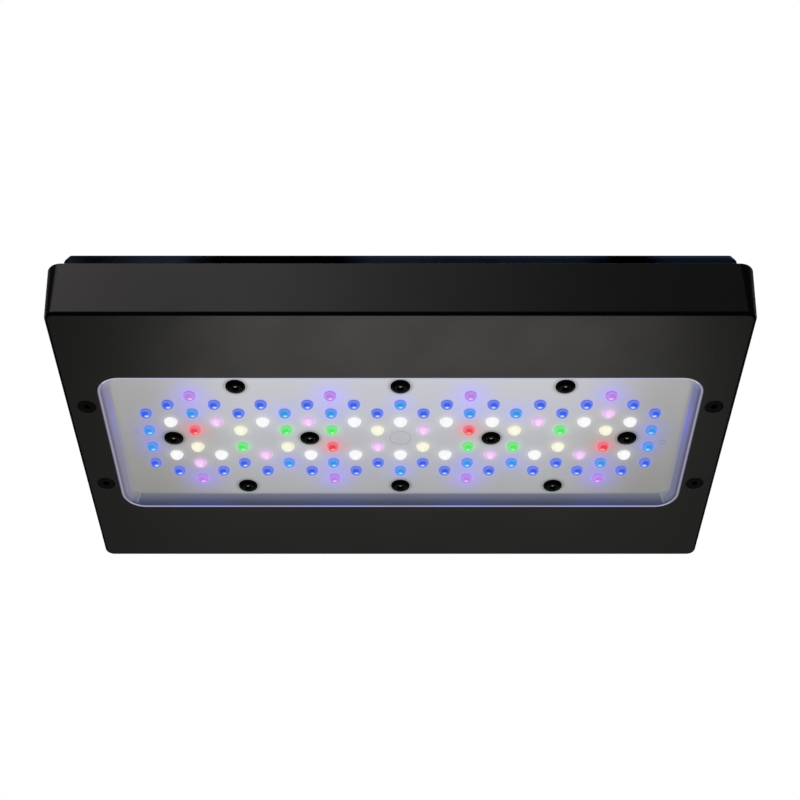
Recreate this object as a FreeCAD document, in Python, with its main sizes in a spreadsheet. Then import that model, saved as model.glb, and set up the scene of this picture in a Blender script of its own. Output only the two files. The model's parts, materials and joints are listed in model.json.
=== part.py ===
import FreeCAD, Part
import Sketcher
import os, math

# LED aquarium light, hung over or standing beside a tank.
# Frame: bottom face of the lower housing on Z = 0, origin under the middle,
# +X along the long side, +Y towards the back (power inlet), +Z up. Millimetres.

V3 = FreeCAD.Vector
doc = FreeCAD.newDocument("AquariumLight")

# ----------------------------------------------------------------------------
# driving dimensions
# ----------------------------------------------------------------------------
sheet = doc.addObject("Spreadsheet::Sheet", "Dims")
D = {}
_row = [0]


def dim(name, value):
    _row[0] += 1
    cell = "A%d" % _row[0]
    sheet.set(cell, "%.6g" % value)
    sheet.setAlias(cell, name)
    D[name] = float("%.6g" % value)


for _name, _value in [
    # lower housing
    ("HousingLength", 294.9), ("HousingWidth", 174.9), ("HousingHeight", 27.4),
    ("HousingCorner", 4.0), ("HousingDraft", 5.3), ("HousingFloor", 3.0),
    ("HousingWall", 2.5), ("HousingEdge", 1.5), ("HousingTopEdge", 0.5),
    ("WindowLength", 265.2), ("WindowWidth", 94.7), ("WindowCorner", 10.5),
    ("RibTop", 23.2), ("RibDepth", 2.4), ("RibWidth", 2.4),
    # top cover
    ("CoverLength", 289.3), ("CoverWidth", 169.3), ("CoverCorner", 3.2),
    ("CoverBase", 24.0), ("CoverTop", 39.0), ("CoverChamfer", 3.6), ("CoverChamferPlan", 1.6),
    ("CoverSkin", 2.2), ("CoverWall", 3.2),
    ("FanOpeningRadius", 39.6), ("SlotWidth", 2.6), ("SlotLength", 60.0),
    ("SlotPitch", 6.4), ("SlotFirst", 58.0), ("SlotCount", 12),
    ("PanelDepth", 0.8), ("PanelLength", 96.0), ("PanelWidth", 18.0),
    ("PanelY", -63.0),
    # lens
    ("LensRimGap", 0.15), ("LensRimWidth", 1.0), ("LensRimBottom", 0.25),
    ("LensFlangeBottom", 3.6), ("LensFlangeTop", 5.4), ("LensFlange", 2.2),
    ("LensFloorLength", 255.7), ("LensFloorWidth", 86.4), ("LensFloorBottom", 5.0),
    ("LensFloorTop", 7.5), ("LensFloorCorner", 5.8),
    ("DomeRadius", 3.0), ("DomeHeight", 2.8),
    ("LedPitchX", 20.79), ("LedPitchY", 6.0),
    ("LensScrewEndX", 72.7), ("LensScrewEndY", 36.1),
    # board and heat path
    ("BoardBottom", 9.0), ("BoardThick", 1.6), ("BoardLength", 252.0),
    ("BoardWidth", 84.0), ("PadThick", 0.5), ("SinkBase", 4.0),
    ("SinkLength", 262.0), ("SinkWidth", 92.0), ("FinThick", 1.2),
    ("FinPitch", 4.1), ("FinCount", 22), ("FinTop", 32.0), ("FinTopUnderFan", 19.4),
    ("SinkEarX", 124.5), ("SinkEarY", 54.0),
    # housing screws (countersunk, M4)
    ("HousingScrewX", 138.7), ("HousingScrewY", 28.0), ("HousingScrewHead", 3.95),
    ("HousingScrewShank", 1.95),
    # lens screws (flanged button, M4)
    ("LensScrewHead", 4.45), ("LensScrewHeadHeight", 1.4), ("LensScrewShank", 1.95),
    # fan
    ("FanSize", 80.0), ("FanBottom", 20.3), ("FanHeight", 15.0), ("FanDuct", 38.0),
    ("FanHoleSpacing", 71.5), ("RotorHub", 16.0), ("RotorTip", 36.8),
    ("ShaftRadius", 1.0), ("BearingBore", 1.05),
    # buttons
    ("ButtonRadius", 4.2), ("ButtonFlange", 5.3), ("ButtonPitch", 24.0),
    ("ButtonTravel", 0.7), ("ButtonTop", 38.9), ("ButtonBottom", 32.8),
    # hanging inserts (M4)
    ("InsertX", 105.0), ("InsertY", 60.0), ("InsertOuter", 3.5), ("InsertBore", 2.0),
    ("InsertLength", 9.0),
    # power inlet
    ("InletX", -110.0), ("InletZ", 13.2), ("InletBarrel", 7.8), ("InletBore", 6.0),
    ("InletFlange", 10.0), ("InletFlatY", 86.65),
    # driver board
    ("DriverX", 12.0), ("DriverY", 67.0), ("DriverLength", 210.0), ("DriverWidth", 30.0),
    ("DriverBottom", 6.0), ("ControlY", -65.0), ("ControlLength", 98.0),
    ("ControlWidth", 30.0), ("ControlBottom", 27.0),
]:
    dim(_name, _value)
doc.recompute()

NODES = []          # (label, object)


def S(name):
    return "Dims." + name


def node(label, obj):
    obj.Label = label
    NODES.append((label, obj))
    return obj


def bind(obj, prop, value):
    if isinstance(value, str):
        obj.setExpression(prop, value)
    else:
        parts = prop.lstrip(".").split(".")
        if len(parts) == 1:
            setattr(obj, parts[0], value)
        else:
            pl = obj.Placement
            b = V3(pl.Base)
            setattr(b, parts[-1], value)
            obj.Placement = FreeCAD.Placement(b, pl.Rotation)


def place(obj, x, y, z, rot=None):
    if rot is not None:
        obj.Placement = FreeCAD.Placement(V3(0, 0, 0), rot)
    for ax, v in (("x", x), ("y", y), ("z", z)):
        bind(obj, ".Placement.Base." + ax, v)


def box(name, lx, ly, lz, x, y, z):
    o = doc.addObject("Part::Box", name)
    bind(o, "Length", lx)
    bind(o, "Width", ly)
    bind(o, "Height", lz)
    place(o, x, y, z)
    return o


RY = FreeCAD.Rotation(V3(1, 0, 0), -90)      # local +Z to +Y
RX = FreeCAD.Rotation(V3(0, 1, 0), 90)       # local +Z to +X


def cyl(name, r, h, x, y, z, rot=None):
    o = doc.addObject("Part::Cylinder", name)
    bind(o, "Radius", r)
    bind(o, "Height", h)
    place(o, x, y, z, rot)
    return o


def cone(name, r1, r2, h, x, y, z, rot=None):
    o = doc.addObject("Part::Cone", name)
    bind(o, "Radius1", r1)
    bind(o, "Radius2", r2)
    bind(o, "Height", h)
    place(o, x, y, z, rot)
    return o


def hexagon(name, circ, h, x, y, z, rot=None):
    o = doc.addObject("Part::Prism", name)
    o.Polygon = 6
    bind(o, "Circumradius", circ)
    bind(o, "Height", h)
    place(o, x, y, z, rot)
    return o


def fuse(name, shapes):
    o = doc.addObject("Part::MultiFuse", name)
    o.Shapes = shapes
    return o


def cut(name, base, tool):
    o = doc.addObject("Part::Cut", name)
    o.Base = base
    o.Tool = tool
    return o


def group(name, master, spots, upside_down=False):
    """Copies of one finished piece, as a group of separate solids."""
    doc.recompute()
    out = []
    for p in spots:
        sh = master.Shape.copy()
        if upside_down:
            sh.rotate(V3(0, 0, 0), V3(1, 0, 0), 180)
        sh.translate(V3(*p))
        out.extend(sh.Solids)
    f = doc.addObject("Part::Feature", name)
    f.Shape = Part.makeCompound(out)
    f.Placement = FreeCAD.Placement()
    return f


def feature(name, shape):
    f = doc.addObject("Part::Feature", name)
    f.Shape = shape
    f.Placement = FreeCAD.Placement()
    return f


# ---- PartDesign helpers -----------------------------------------------------
def body(name):
    return doc.addObject("PartDesign::Body", name)


def plane(b, role):
    return [f for f in b.Origin.OriginFeatures if f.Role == role][0]


def sketch(b, name, zexpr, role="XY_Plane"):
    sk = b.newObject("Sketcher::SketchObject", name)
    sk.AttachmentSupport = [(plane(b, role), "")]
    sk.MapMode = "FlatFace"
    if isinstance(zexpr, str):
        sk.setExpression(".AttachmentOffset.Base.z", zexpr)
    else:
        sk.AttachmentOffset = FreeCAD.Placement(V3(0, 0, zexpr), FreeCAD.Rotation())
    return sk


def value(expr):
    """Number behind a sheet expression."""
    if not isinstance(expr, str):
        return float(expr)
    e = expr
    for k in sorted(D, key=len, reverse=True):
        e = e.replace("Dims." + k, repr(D[k]))
    return calc(e)


def calc(text):
    """Plain arithmetic: + - * / and brackets."""
    toks = []
    i = 0
    while i < len(text):
        c = text[i]
        if c.isspace():
            i += 1
        elif c.isdigit() or c == ".":
            j = i
            while j < len(text) and (text[j].isdigit() or text[j] in ".e"):
                j += 1
            toks.append(float(text[i:j]))
            i = j
        else:
            toks.append(c)
            i += 1
    pos = [0]

    def atom():
        t = toks[pos[0]]
        pos[0] += 1
        if t == "(":
            v = expr_()
            pos[0] += 1
            return v
        if t == "-":
            return -atom()
        if t == "+":
            return atom()
        return t

    def term():
        v = atom()
        while pos[0] < len(toks) and toks[pos[0]] in ("*", "/"):
            t = toks[pos[0]]
            pos[0] += 1
            w = atom()
            v = v * w if t == "*" else v / w
        return v

    def expr_():
        v = term()
        while pos[0] < len(toks) and toks[pos[0]] in ("+", "-"):
            t = toks[pos[0]]
            pos[0] += 1
            w = term()
            v = v + w if t == "+" else v - w
        return v

    return expr_()


def drive(sk, index, expr):
    if isinstance(expr, str):
        sk.setExpression("Constraints[%d]" % index, expr)


def rounded_rect(sk, w, h, r):
    """Rounded rectangle centred on the sketch origin, driven by w, h and r."""
    a, b_, c = value(w) / 2.0, value(h) / 2.0, value(r)
    n0 = sk.GeometryCount

    def ln(x1, y1, x2, y2):
        return sk.addGeometry(Part.LineSegment(V3(x1, y1, 0), V3(x2, y2, 0)), False)

    def ar(cx, cy, a1, a2):
        return sk.addGeometry(Part.ArcOfCircle(
            Part.Circle(V3(cx, cy, 0), V3(0, 0, 1), c), math.radians(a1), math.radians(a2)), False)

    ln(-a + c, -b_, a - c, -b_)
    ar(a - c, -b_ + c, -90, 0)
    ln(a, -b_ + c, a, b_ - c)
    ar(a - c, b_ - c, 0, 90)
    ln(a - c, b_, -a + c, b_)
    ar(-a + c, b_ - c, 90, 180)
    ln(-a, b_ - c, -a, -b_ + c)
    ar(-a + c, -b_ + c, 180, 270)
    for i in range(8):
        j = (i + 1) % 8
        sk.addConstraint(Sketcher.Constraint("Tangent", n0 + i, 2, n0 + j, 1))
    sk.addConstraint(Sketcher.Constraint("Horizontal", n0))
    sk.addConstraint(Sketcher.Constraint("Horizontal", n0 + 4))
    sk.addConstraint(Sketcher.Constraint("Vertical", n0 + 2))
    sk.addConstraint(Sketcher.Constraint("Vertical", n0 + 6))
    for k in (3, 5, 7):
        sk.addConstraint(Sketcher.Constraint("Equal", n0 + 1, n0 + k))
    drive(sk, sk.addConstraint(Sketcher.Constraint("DistanceX", n0 + 6, 2, n0 + 2, 1, 2 * a)), w)
    drive(sk, sk.addConstraint(Sketcher.Constraint("DistanceY", n0, 2, n0 + 4, 1, 2 * b_)), h)
    drive(sk, sk.addConstraint(Sketcher.Constraint("Radius", n0 + 1, c)), r)
    sk.addConstraint(Sketcher.Constraint("Symmetric", n0, 1, n0 + 4, 1, -1, 1))


def circle(sk, r, x, y):
    """Circle at x, y (each a number or a sheet expression)."""
    n = sk.addGeometry(Part.Circle(V3(value(x), value(y), 0), V3(0, 0, 1), value(r)), False)
    drive(sk, sk.addConstraint(Sketcher.Constraint("Radius", n, value(r))), r)
    for kind, v in (("DistanceX", x), ("DistanceY", y)):
        val = value(v)
        if abs(val) < 1e-9:
            if kind == "DistanceX":
                sk.addConstraint(Sketcher.Constraint("PointOnObject", n, 3, -2))
            else:
                sk.addConstraint(Sketcher.Constraint("PointOnObject", n, 3, -1))
            continue
        if val > 0:
            idx = sk.addConstraint(Sketcher.Constraint(kind, -1, 1, n, 3, val))
            drive(sk, idx, v)
        else:
            idx = sk.addConstraint(Sketcher.Constraint(kind, n, 3, -1, 1, -val))
            if isinstance(v, str):
                drive(sk, idx, "-(%s)" % v)


def rect(sk, x1, y1, x2, y2):
    """Plain rectangle from x1, y1 to x2, y2."""
    p = [(x1, y1), (x2, y1), (x2, y2), (x1, y2)]
    n0 = sk.GeometryCount
    for i in range(4):
        a, b_ = p[i], p[(i + 1) % 4]
        sk.addGeometry(Part.LineSegment(V3(a[0], a[1], 0), V3(b_[0], b_[1], 0)), False)
    for i in range(4):
        sk.addConstraint(Sketcher.Constraint("Coincident", n0 + i, 2, n0 + (i + 1) % 4, 1))
    sk.addConstraint(Sketcher.Constraint("Horizontal", n0))
    sk.addConstraint(Sketcher.Constraint("Vertical", n0 + 1))
    sk.addConstraint(Sketcher.Constraint("Horizontal", n0 + 2))
    sk.addConstraint(Sketcher.Constraint("Vertical", n0 + 3))
    sk.addConstraint(Sketcher.Constraint("DistanceX", n0, 1, n0, 2, x2 - x1))
    sk.addConstraint(Sketcher.Constraint("DistanceY", n0 + 1, 1, n0 + 1, 2, y2 - y1))


def pad(b, name, sk, length, taper=None):
    f = b.newObject("PartDesign::Pad", name)
    f.Profile = sk
    bind(f, "Length", length)
    if taper is not None:
        bind(f, "TaperAngle", taper)
    sk.Visibility = False
    doc.recompute()
    return f


def pocket(b, name, sk, length, reverse=False, taper=None, through=False):
    before = b.Shape.Volume
    f = b.newObject("PartDesign::Pocket", name)
    f.Profile = sk
    if through:
        f.Type = 1
    else:
        bind(f, "Length", length)
    f.Reversed = reverse
    if taper is not None:
        bind(f, "TaperAngle", taper)
    doc.recompute()
    if not b.Shape.Volume < before - 1e-6:
        raise RuntimeError("pocket %s removed nothing" % name)
    return f


def edges_at(shape, test):
    return ["Edge%d" % (i + 1) for i, e in enumerate(shape.Edges) if test(e)]


def flat_at(z, tol=1e-4):
    return lambda e: abs(e.BoundBox.ZMin - z) < tol and abs(e.BoundBox.ZMax - z) < tol


def dress(b, kind, name, base, names, size):
    f = b.newObject("PartDesign::" + kind, name)
    f.Base = (base, names)
    bind(f, "Radius" if kind == "Fillet" else "Size", size)
    doc.recompute()
    return f


# ----------------------------------------------------------------------------
# positions used by more than one piece
# ----------------------------------------------------------------------------
PX, PY = D["LedPitchX"], D["LedPitchY"]
LENS_SCREWS = [(-D["LensScrewEndX"], -D["LensScrewEndY"]), (0.0, -D["LensScrewEndY"]),
               (D["LensScrewEndX"], -D["LensScrewEndY"]),
               (-5 * PX, 0.0), (-2 * PX, 0.0), (2 * PX, 0.0), (5 * PX, 0.0),
               (-D["LensScrewEndX"], D["LensScrewEndY"]), (0.0, D["LensScrewEndY"]),
               (D["LensScrewEndX"], D["LensScrewEndY"])]
HOUSING_SCREWS = [(sx * D["HousingScrewX"], sy * D["HousingScrewY"]) for sx in (-1, 1) for sy in (-1, 1)]
SINK_EARS = [(sx * D["SinkEarX"], sy * D["SinkEarY"]) for sx in (-1, 1) for sy in (-1, 1)]
INSERTS = [(sx * D["InsertX"], sy * D["InsertY"]) for sx in (-1, 1) for sy in (-1, 1)]
half = D["FanHoleSpacing"] / 2.0
FAN_HOLES = [(sx * half, sy * half) for sx in (-1, 1) for sy in (-1, 1)]
DRIVER_HOLES = [(D["DriverX"] + sx * 98.0, D["DriverY"] + sy * 11.5) for sx in (-1, 0, 1) for sy in (-1, 1)]
CONTROL_HOLES = [(sx * 44.5, D["ControlY"] + sy * 11.5) for sx in (-1, 1) for sy in (-1, 1)]

# Emitters on a hexagonal lattice, eleven rows from front (-Y) to back.
# B royal blue, C blue, W cool white, Y warm white, P pink, R red, G green, V violet
ROWS = {
    0: {-4.5: "V", -1.5: "V", 1.5: "V", 4.5: "V"},
    1: dict(zip(range(-5, 6), "BBBBBCBBBBB")),
    2: dict(zip([k - 5.5 for k in range(12)], "BCBCCBBCCBPB")),
    3: dict(zip(range(-5, 6), "WPWPWWWWPWW")),
    4: dict(zip([k - 5.5 for k in range(12)], "CRYGGYPRYGYC")),
    6: dict(zip([k - 5.5 for k in range(12)], "CYGYRPYGGYRC")),
    7: dict(zip(range(-5, 6), "WWPWWWWPWPW")),
    8: dict(zip([k - 5.5 for k in range(12)], "BPBCCBBCCBCB")),
    9: dict(zip(range(-5, 6), "BBBBBCBBBBB")),
    10: {-4.5: "V", -1.5: "V", 1.5: "V", 4.5: "V"},
}
EMITTERS = [(k * PX, (r - 5) * PY, c) for r in sorted(ROWS) for k, c in sorted(ROWS[r].items())]

# ----------------------------------------------------------------------------
# lower housing: drafted tray with a window, ribs and bosses
# ----------------------------------------------------------------------------
hb = body("LowerHousing")
sk = sketch(hb, "HousingOutline", 0.0)
rounded_rect(sk, S("HousingLength"), S("HousingWidth"), S("HousingCorner"))
outer = pad(hb, "HousingBlock", sk, S("HousingHeight"), S("HousingDraft"))
bottom_edges = edges_at(outer.Shape, flat_at(0.0))
fil = dress(hb, "Fillet", "BottomEdge", outer, bottom_edges, S("HousingEdge"))
top_edges = edges_at(fil.Shape, flat_at(D["HousingHeight"]))
fil2 = dress(hb, "Chamfer", "TopEdge", fil, top_edges, S("HousingTopEdge"))
sk = sketch(hb, "HousingInside", S("HousingHeight"))
rounded_rect(sk, S("HousingLength") + " - 2 * Dims.HousingWall",
             S("HousingWidth") + " - 2 * Dims.HousingWall", S("HousingCorner") + " - 2")
pocket(hb, "HousingHollow", sk, "Dims.HousingHeight - Dims.HousingFloor")
sk = sketch(hb, "WindowOutline", S("HousingFloor"))
rounded_rect(sk, S("WindowLength"), S("WindowWidth"), S("WindowCorner"))
pocket(hb, "Window", sk, "Dims.HousingFloor + 1")
# ribs that carry the cover's gasket
inx = D["HousingLength"] / 2 - D["HousingWall"]
iny = D["HousingWidth"] / 2 - D["HousingWall"]
rd, rw = D["RibDepth"], D["RibWidth"]
sk = sketch(hb, "RibOutline", "Dims.HousingFloor - 0.5")
for x in (-120.0, -75.0, -30.0, 30.0, 75.0, 120.0):
    for s in (-1, 1):
        if s > 0 and x == -120.0:
            x0 = -128.0           # keeps clear of the inlet
        else:
            x0 = x
        y1, y2 = (iny - rd, iny + 0.5) if s > 0 else (-iny - 0.5, -iny + rd)
        rect(sk, x0 - rw / 2, y1, x0 + rw / 2, y2)
for y in (-55.0, 0.0, 55.0):
    for s in (-1, 1):
        x1, x2 = (inx - rd, inx + 0.5) if s > 0 else (-inx - 0.5, -inx + rd)
        rect(sk, x1, y - rw / 2, x2, y + rw / 2)
pad(hb, "Ribs", sk, "Dims.RibTop - Dims.HousingFloor + 0.5")
# bosses under the heat sink ears and posts under the driver board
sk = sketch(hb, "BossOutline", "Dims.HousingFloor - 0.5")
for x, y in SINK_EARS:
    circle(sk, 3.8, x, y)
pad(hb, "SinkBosses", sk, "Dims.BoardBottom + Dims.BoardThick + Dims.PadThick - Dims.HousingFloor + 0.5")
sk = sketch(hb, "PostOutline", "Dims.HousingFloor - 0.5")
for x, y in DRIVER_HOLES:
    circle(sk, 3.0, x, y)
pad(hb, "DriverPosts", sk, "Dims.DriverBottom - Dims.HousingFloor + 0.5")
sk = sketch(hb, "BossPilots", "Dims.BoardBottom + Dims.BoardThick + Dims.PadThick")
for x, y in SINK_EARS:
    circle(sk, 1.5, x, y)
pocket(hb, "BossHoles", sk, 8.0)
sk = sketch(hb, "PostPilots", S("DriverBottom"))
for x, y in DRIVER_HOLES:
    circle(sk, 1.25, x, y)
pocket(hb, "PostHoles", sk, 4.5)
# countersunk screw holes beside the window
sk = sketch(hb, "CoverScrewHoles", S("HousingFloor"))
for x, y in HOUSING_SCREWS:
    circle(sk, 2.2, ("-" if x < 0 else "") + "Dims.HousingScrewX", ("-" if y < 0 else "") + "Dims.HousingScrewY")
hp = pocket(hb, "ScrewHoles", sk, "Dims.HousingFloor + 1")


def screw_rim(e):
    bb = e.BoundBox
    if not (abs(bb.ZMin) < 1e-4 and abs(bb.ZMax) < 1e-4):
        return False
    return abs(bb.XLength - 4.4) < 0.02 and abs(bb.YLength - 4.4) < 0.02


names = edges_at(hp.Shape, screw_rim)
if len(names) != 4:
    raise RuntimeError("screw rims not found")
dress(hb, "Chamfer", "Countersinks", hp, names, 2.0)
# flat seat and hole for the power inlet in the back wall
sk = sketch(hb, "InletSeat", -95.0, "XZ_Plane")
circle(sk, "Dims.InletFlange + 0.3", S("InletX"), S("InletZ"))
pocket(hb, "InletRecess", sk, "95 - Dims.InletFlatY", reverse=True)
sk = sketch(hb, "InletHole", -95.0, "XZ_Plane")
circle(sk, "Dims.InletBarrel + 0.15", S("InletX"), S("InletZ"))
pocket(hb, "InletThrough", sk, 20.0, reverse=True)
node("lower_housing", hb)

# ----------------------------------------------------------------------------
# top cover: shallow lid with fan opening, exhaust slots, button panel, posts
# ----------------------------------------------------------------------------
cb = body("TopCover")
sk = sketch(cb, "CoverOutline", S("CoverBase"))
rounded_rect(sk, S("CoverLength"), S("CoverWidth"), S("CoverCorner"))
cpad = pad(cb, "CoverBlock", sk, "Dims.CoverTop - Dims.CoverBase")
cch = dress(cb, "Chamfer", "CoverEdge", cpad, edges_at(cpad.Shape, flat_at(D["CoverTop"])), S("CoverChamfer"))
cch.ChamferType = "Two distances"
cch.setExpression("Size2", S("CoverChamferPlan"))
doc.recompute()
if abs(max([e.BoundBox.XMax for e in cch.Shape.Edges if flat_at(D["CoverTop"])(e)]) -
       (D["CoverLength"] / 2 - D["CoverChamferPlan"])) > 0.05:
    cch.FlipDirection = True
    doc.recompute()
cfl = dress(cb, "Fillet", "CoverEdgeSoft", cch,
            edges_at(cch.Shape, flat_at(D["CoverTop"])) +
            edges_at(cch.Shape, flat_at(D["CoverTop"] - D["CoverChamfer"])), 0.8)
sk = sketch(cb, "CoverInside", S("CoverBase"))
rounded_rect(sk, S("CoverLength") + " - 2 * Dims.CoverWall", S("CoverWidth") + " - 2 * Dims.CoverWall",
             S("CoverCorner") + " - 2.5")
pocket(cb, "CoverHollow", sk, "Dims.CoverTop - Dims.CoverSkin - Dims.CoverBase", reverse=True)
# posts down to the housing floor, bosses for inserts, fan and control board
ctop = "Dims.CoverTop - 1"
sk = sketch(cb, "ScrewPosts", "Dims.HousingFloor + 0.05")
for x, y in HOUSING_SCREWS:
    circle(sk, 3.9, ("-" if x < 0 else "") + "Dims.HousingScrewX", ("-" if y < 0 else "") + "Dims.HousingScrewY")
pad(cb, "Posts", sk, ctop + " - Dims.HousingFloor - 0.05")
sk = sketch(cb, "InsertBosses", 27.5)
for x, y in INSERTS:
    circle(sk, 5.6, ("-" if x < 0 else "") + "Dims.InsertX", ("-" if y < 0 else "") + "Dims.InsertY")
pad(cb, "Bosses", sk, ctop + " - 27.5")
sk = sketch(cb, "BoardPosts", "Dims.ControlBottom + 1.6")
for x, y in CONTROL_HOLES:
    circle(sk, 3.2, x, y)
pad(cb, "ControlPosts", sk, ctop + " - Dims.ControlBottom - 1.6")
sk = sketch(cb, "FanPads", "Dims.FanBottom + Dims.FanHeight + 0.05")
for x, y in FAN_HOLES:
    circle(sk, 4.2, x, y)
pad(cb, "FanSpacers", sk, ctop + " - Dims.FanBottom - Dims.FanHeight - 0.05")
# openings
sk = sketch(cb, "FanOpening", S("CoverTop"))
circle(sk, S("FanOpeningRadius"), 0, 0)
pocket(cb, "FanHole", sk, 6.0)
# a slot, then a row of them each side
sw, sl = D["SlotWidth"], D["SlotLength"]
for side, nm in ((1, "Right"), (-1, "Left")):
    sk = sketch(cb, "Slot" + nm, S("CoverTop"))
    xc = side * (D["SlotFirst"])
    g0 = sk.GeometryCount
    sk.addGeometry(Part.LineSegment(V3(xc - sw / 2, -sl / 2, 0), V3(xc - sw / 2, sl / 2, 0)), False)
    sk.addGeometry(Part.ArcOfCircle(Part.Circle(V3(xc, sl / 2, 0), V3(0, 0, 1), sw / 2), 0, math.pi), False)
    sk.addGeometry(Part.LineSegment(V3(xc + sw / 2, sl / 2, 0), V3(xc + sw / 2, -sl / 2, 0)), False)
    sk.addGeometry(Part.ArcOfCircle(Part.Circle(V3(xc, -sl / 2, 0), V3(0, 0, 1), sw / 2), math.pi, 2 * math.pi), False)
    sk.addConstraint(Sketcher.Constraint("Tangent", g0, 2, g0 + 1, 2))
    sk.addConstraint(Sketcher.Constraint("Tangent", g0 + 1, 1, g0 + 2, 1))
    sk.addConstraint(Sketcher.Constraint("Tangent", g0 + 2, 2, g0 + 3, 2))
    sk.addConstraint(Sketcher.Constraint("Tangent", g0 + 3, 1, g0, 1))
    sk.addConstraint(Sketcher.Constraint("Vertical", g0))
    drive(sk, sk.addConstraint(Sketcher.Constraint("Radius", g0 + 1, sw / 2)), "Dims.SlotWidth / 2")
    drive(sk, sk.addConstraint(Sketcher.Constraint("DistanceY", g0, 1, g0, 2, sl)), S("SlotLength"))
    sl_p = pocket(cb, "ExhaustSlot" + nm, sk, 5.0)
    pat = cb.newObject("PartDesign::LinearPattern", "ExhaustRow" + nm)
    pat.Originals = [sl_p]
    pat.Direction = (sk, ["H_Axis"])
    pat.Reversed = side < 0
    pat.Length = D["SlotPitch"] * (D["SlotCount"] - 1)
    pat.setExpression("Length", "Dims.SlotPitch * (Dims.SlotCount - 1)")
    pat.Occurrences = int(D["SlotCount"])
    cb.Tip = pat
    before = cb.Shape.Volume
    doc.recompute()
# shallow panel round the buttons
sk = sketch(cb, "PanelOutline", S("CoverTop"))
sk.AttachmentOffset = FreeCAD.Placement(V3(0, D["PanelY"], D["CoverTop"]), FreeCAD.Rotation())
sk.setExpression(".AttachmentOffset.Base.y", S("PanelY"))
sk.setExpression(".AttachmentOffset.Base.z", S("CoverTop"))
rounded_rect(sk, S("PanelLength"), S("PanelWidth"), "Dims.PanelWidth / 2 - 0.01")
pocket(cb, "ButtonPanel", sk, S("PanelDepth"))
sk = sketch(cb, "ButtonHoles", S("CoverTop"))
for k in (-1, 0, 1):
    circle(sk, "Dims.ButtonRadius + 0.3", k * D["ButtonPitch"], S("PanelY"))
circle(sk, 1.7, 40.0, S("PanelY"))
pocket(cb, "PanelHoles", sk, 6.0)
sk = sketch(cb, "InsertHoles", S("CoverTop"))
for x, y in INSERTS:
    circle(sk, S("InsertOuter"), ("-" if x < 0 else "") + "Dims.InsertX", ("-" if y < 0 else "") + "Dims.InsertY")
pocket(cb, "InsertPockets", sk, S("InsertLength"))
sk = sketch(cb, "FanScrewHoles", S("CoverTop"))
for x, y in FAN_HOLES:
    circle(sk, 1.8, x, y)
fsh = pocket(cb, "FanScrewThrough", sk, 8.0)


def fan_rim(e):
    bb = e.BoundBox
    return (abs(bb.ZMin - D["CoverTop"]) < 1e-4 and abs(bb.ZMax - D["CoverTop"]) < 1e-4
            and abs(bb.XLength - 3.6) < 0.02 and abs(bb.YLength - 3.6) < 0.02)


dress(cb, "Chamfer", "FanCountersinks", fsh, edges_at(fsh.Shape, fan_rim), 1.3)
sk = sketch(cb, "PostPilotHoles", "Dims.HousingFloor + 0.05")
for x, y in HOUSING_SCREWS:
    circle(sk, 2.0, ("-" if x < 0 else "") + "Dims.HousingScrewX", ("-" if y < 0 else "") + "Dims.HousingScrewY")
pocket(cb, "PostPilots", sk, 12.0, reverse=True)
sk = sketch(cb, "BoardPilotHoles", "Dims.ControlBottom + 1.6")
for x, y in CONTROL_HOLES:
    circle(sk, 1.25, x, y)
pocket(cb, "BoardPilots", sk, 6.5, reverse=True)
node("top_cover", cb)

# foam seal between the ribs and the lid
g1 = body("CoverGasket")
sk = sketch(g1, "GasketOutline", S("RibTop"))
rounded_rect(sk, "Dims.CoverLength - 0.6", "Dims.CoverWidth - 0.6", "Dims.CoverCorner - 0.5")
pad(g1, "GasketPad", sk, "Dims.CoverBase - Dims.RibTop")
sk = sketch(g1, "GasketHole", S("CoverBase"))
rounded_rect(sk, "Dims.CoverLength - 2 * Dims.CoverWall + 0.6", "Dims.CoverWidth - 2 * Dims.CoverWall + 0.6",
             "Dims.CoverCorner - 2.5")
pocket(g1, "GasketOpen", sk, "Dims.CoverBase - Dims.RibTop + 0.1")
# the screw posts pass beside the seal
sk = sketch(g1, "GasketNotches", S("CoverBase"))
for x, y in HOUSING_SCREWS:
    circle(sk, 4.2, x, y)
pocket(g1, "GasketNotch", sk, "Dims.CoverBase - Dims.RibTop + 0.1")
node("cover_gasket", g1)

# ----------------------------------------------------------------------------
# lens plate: clear moulded tray with a dome over each emitter
# ----------------------------------------------------------------------------
lb = body("LensTray")
sk = sketch(lb, "LensRim", S("LensRimBottom"))
rounded_rect(sk, "Dims.WindowLength - 2 * Dims.LensRimGap", "Dims.WindowWidth - 2 * Dims.LensRimGap",
             "Dims.WindowCorner - Dims.LensRimGap")
pad(lb, "LensBlock", sk, "Dims.LensFlangeTop - Dims.LensRimBottom")
sk = sketch(lb, "LensFlangeOutline", S("LensFlangeBottom"))
rounded_rect(sk, "Dims.WindowLength + 2 * Dims.LensFlange", "Dims.WindowWidth + 2 * Dims.LensFlange",
             "Dims.WindowCorner + Dims.LensFlange")
pad(lb, "LensFlangePad", sk, "Dims.LensFlangeTop - Dims.LensFlangeBottom")
sk = sketch(lb, "LensCrownOutline", "Dims.LensFlangeTop - 0.2")
rounded_rect(sk, "Dims.LensFloorLength + 7", "Dims.LensFloorWidth + 7", "Dims.LensFloorCorner + 3")
pad(lb, "LensCrown", sk, "Dims.LensFloorTop - Dims.LensFlangeTop + 0.2", -40.0)
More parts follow.
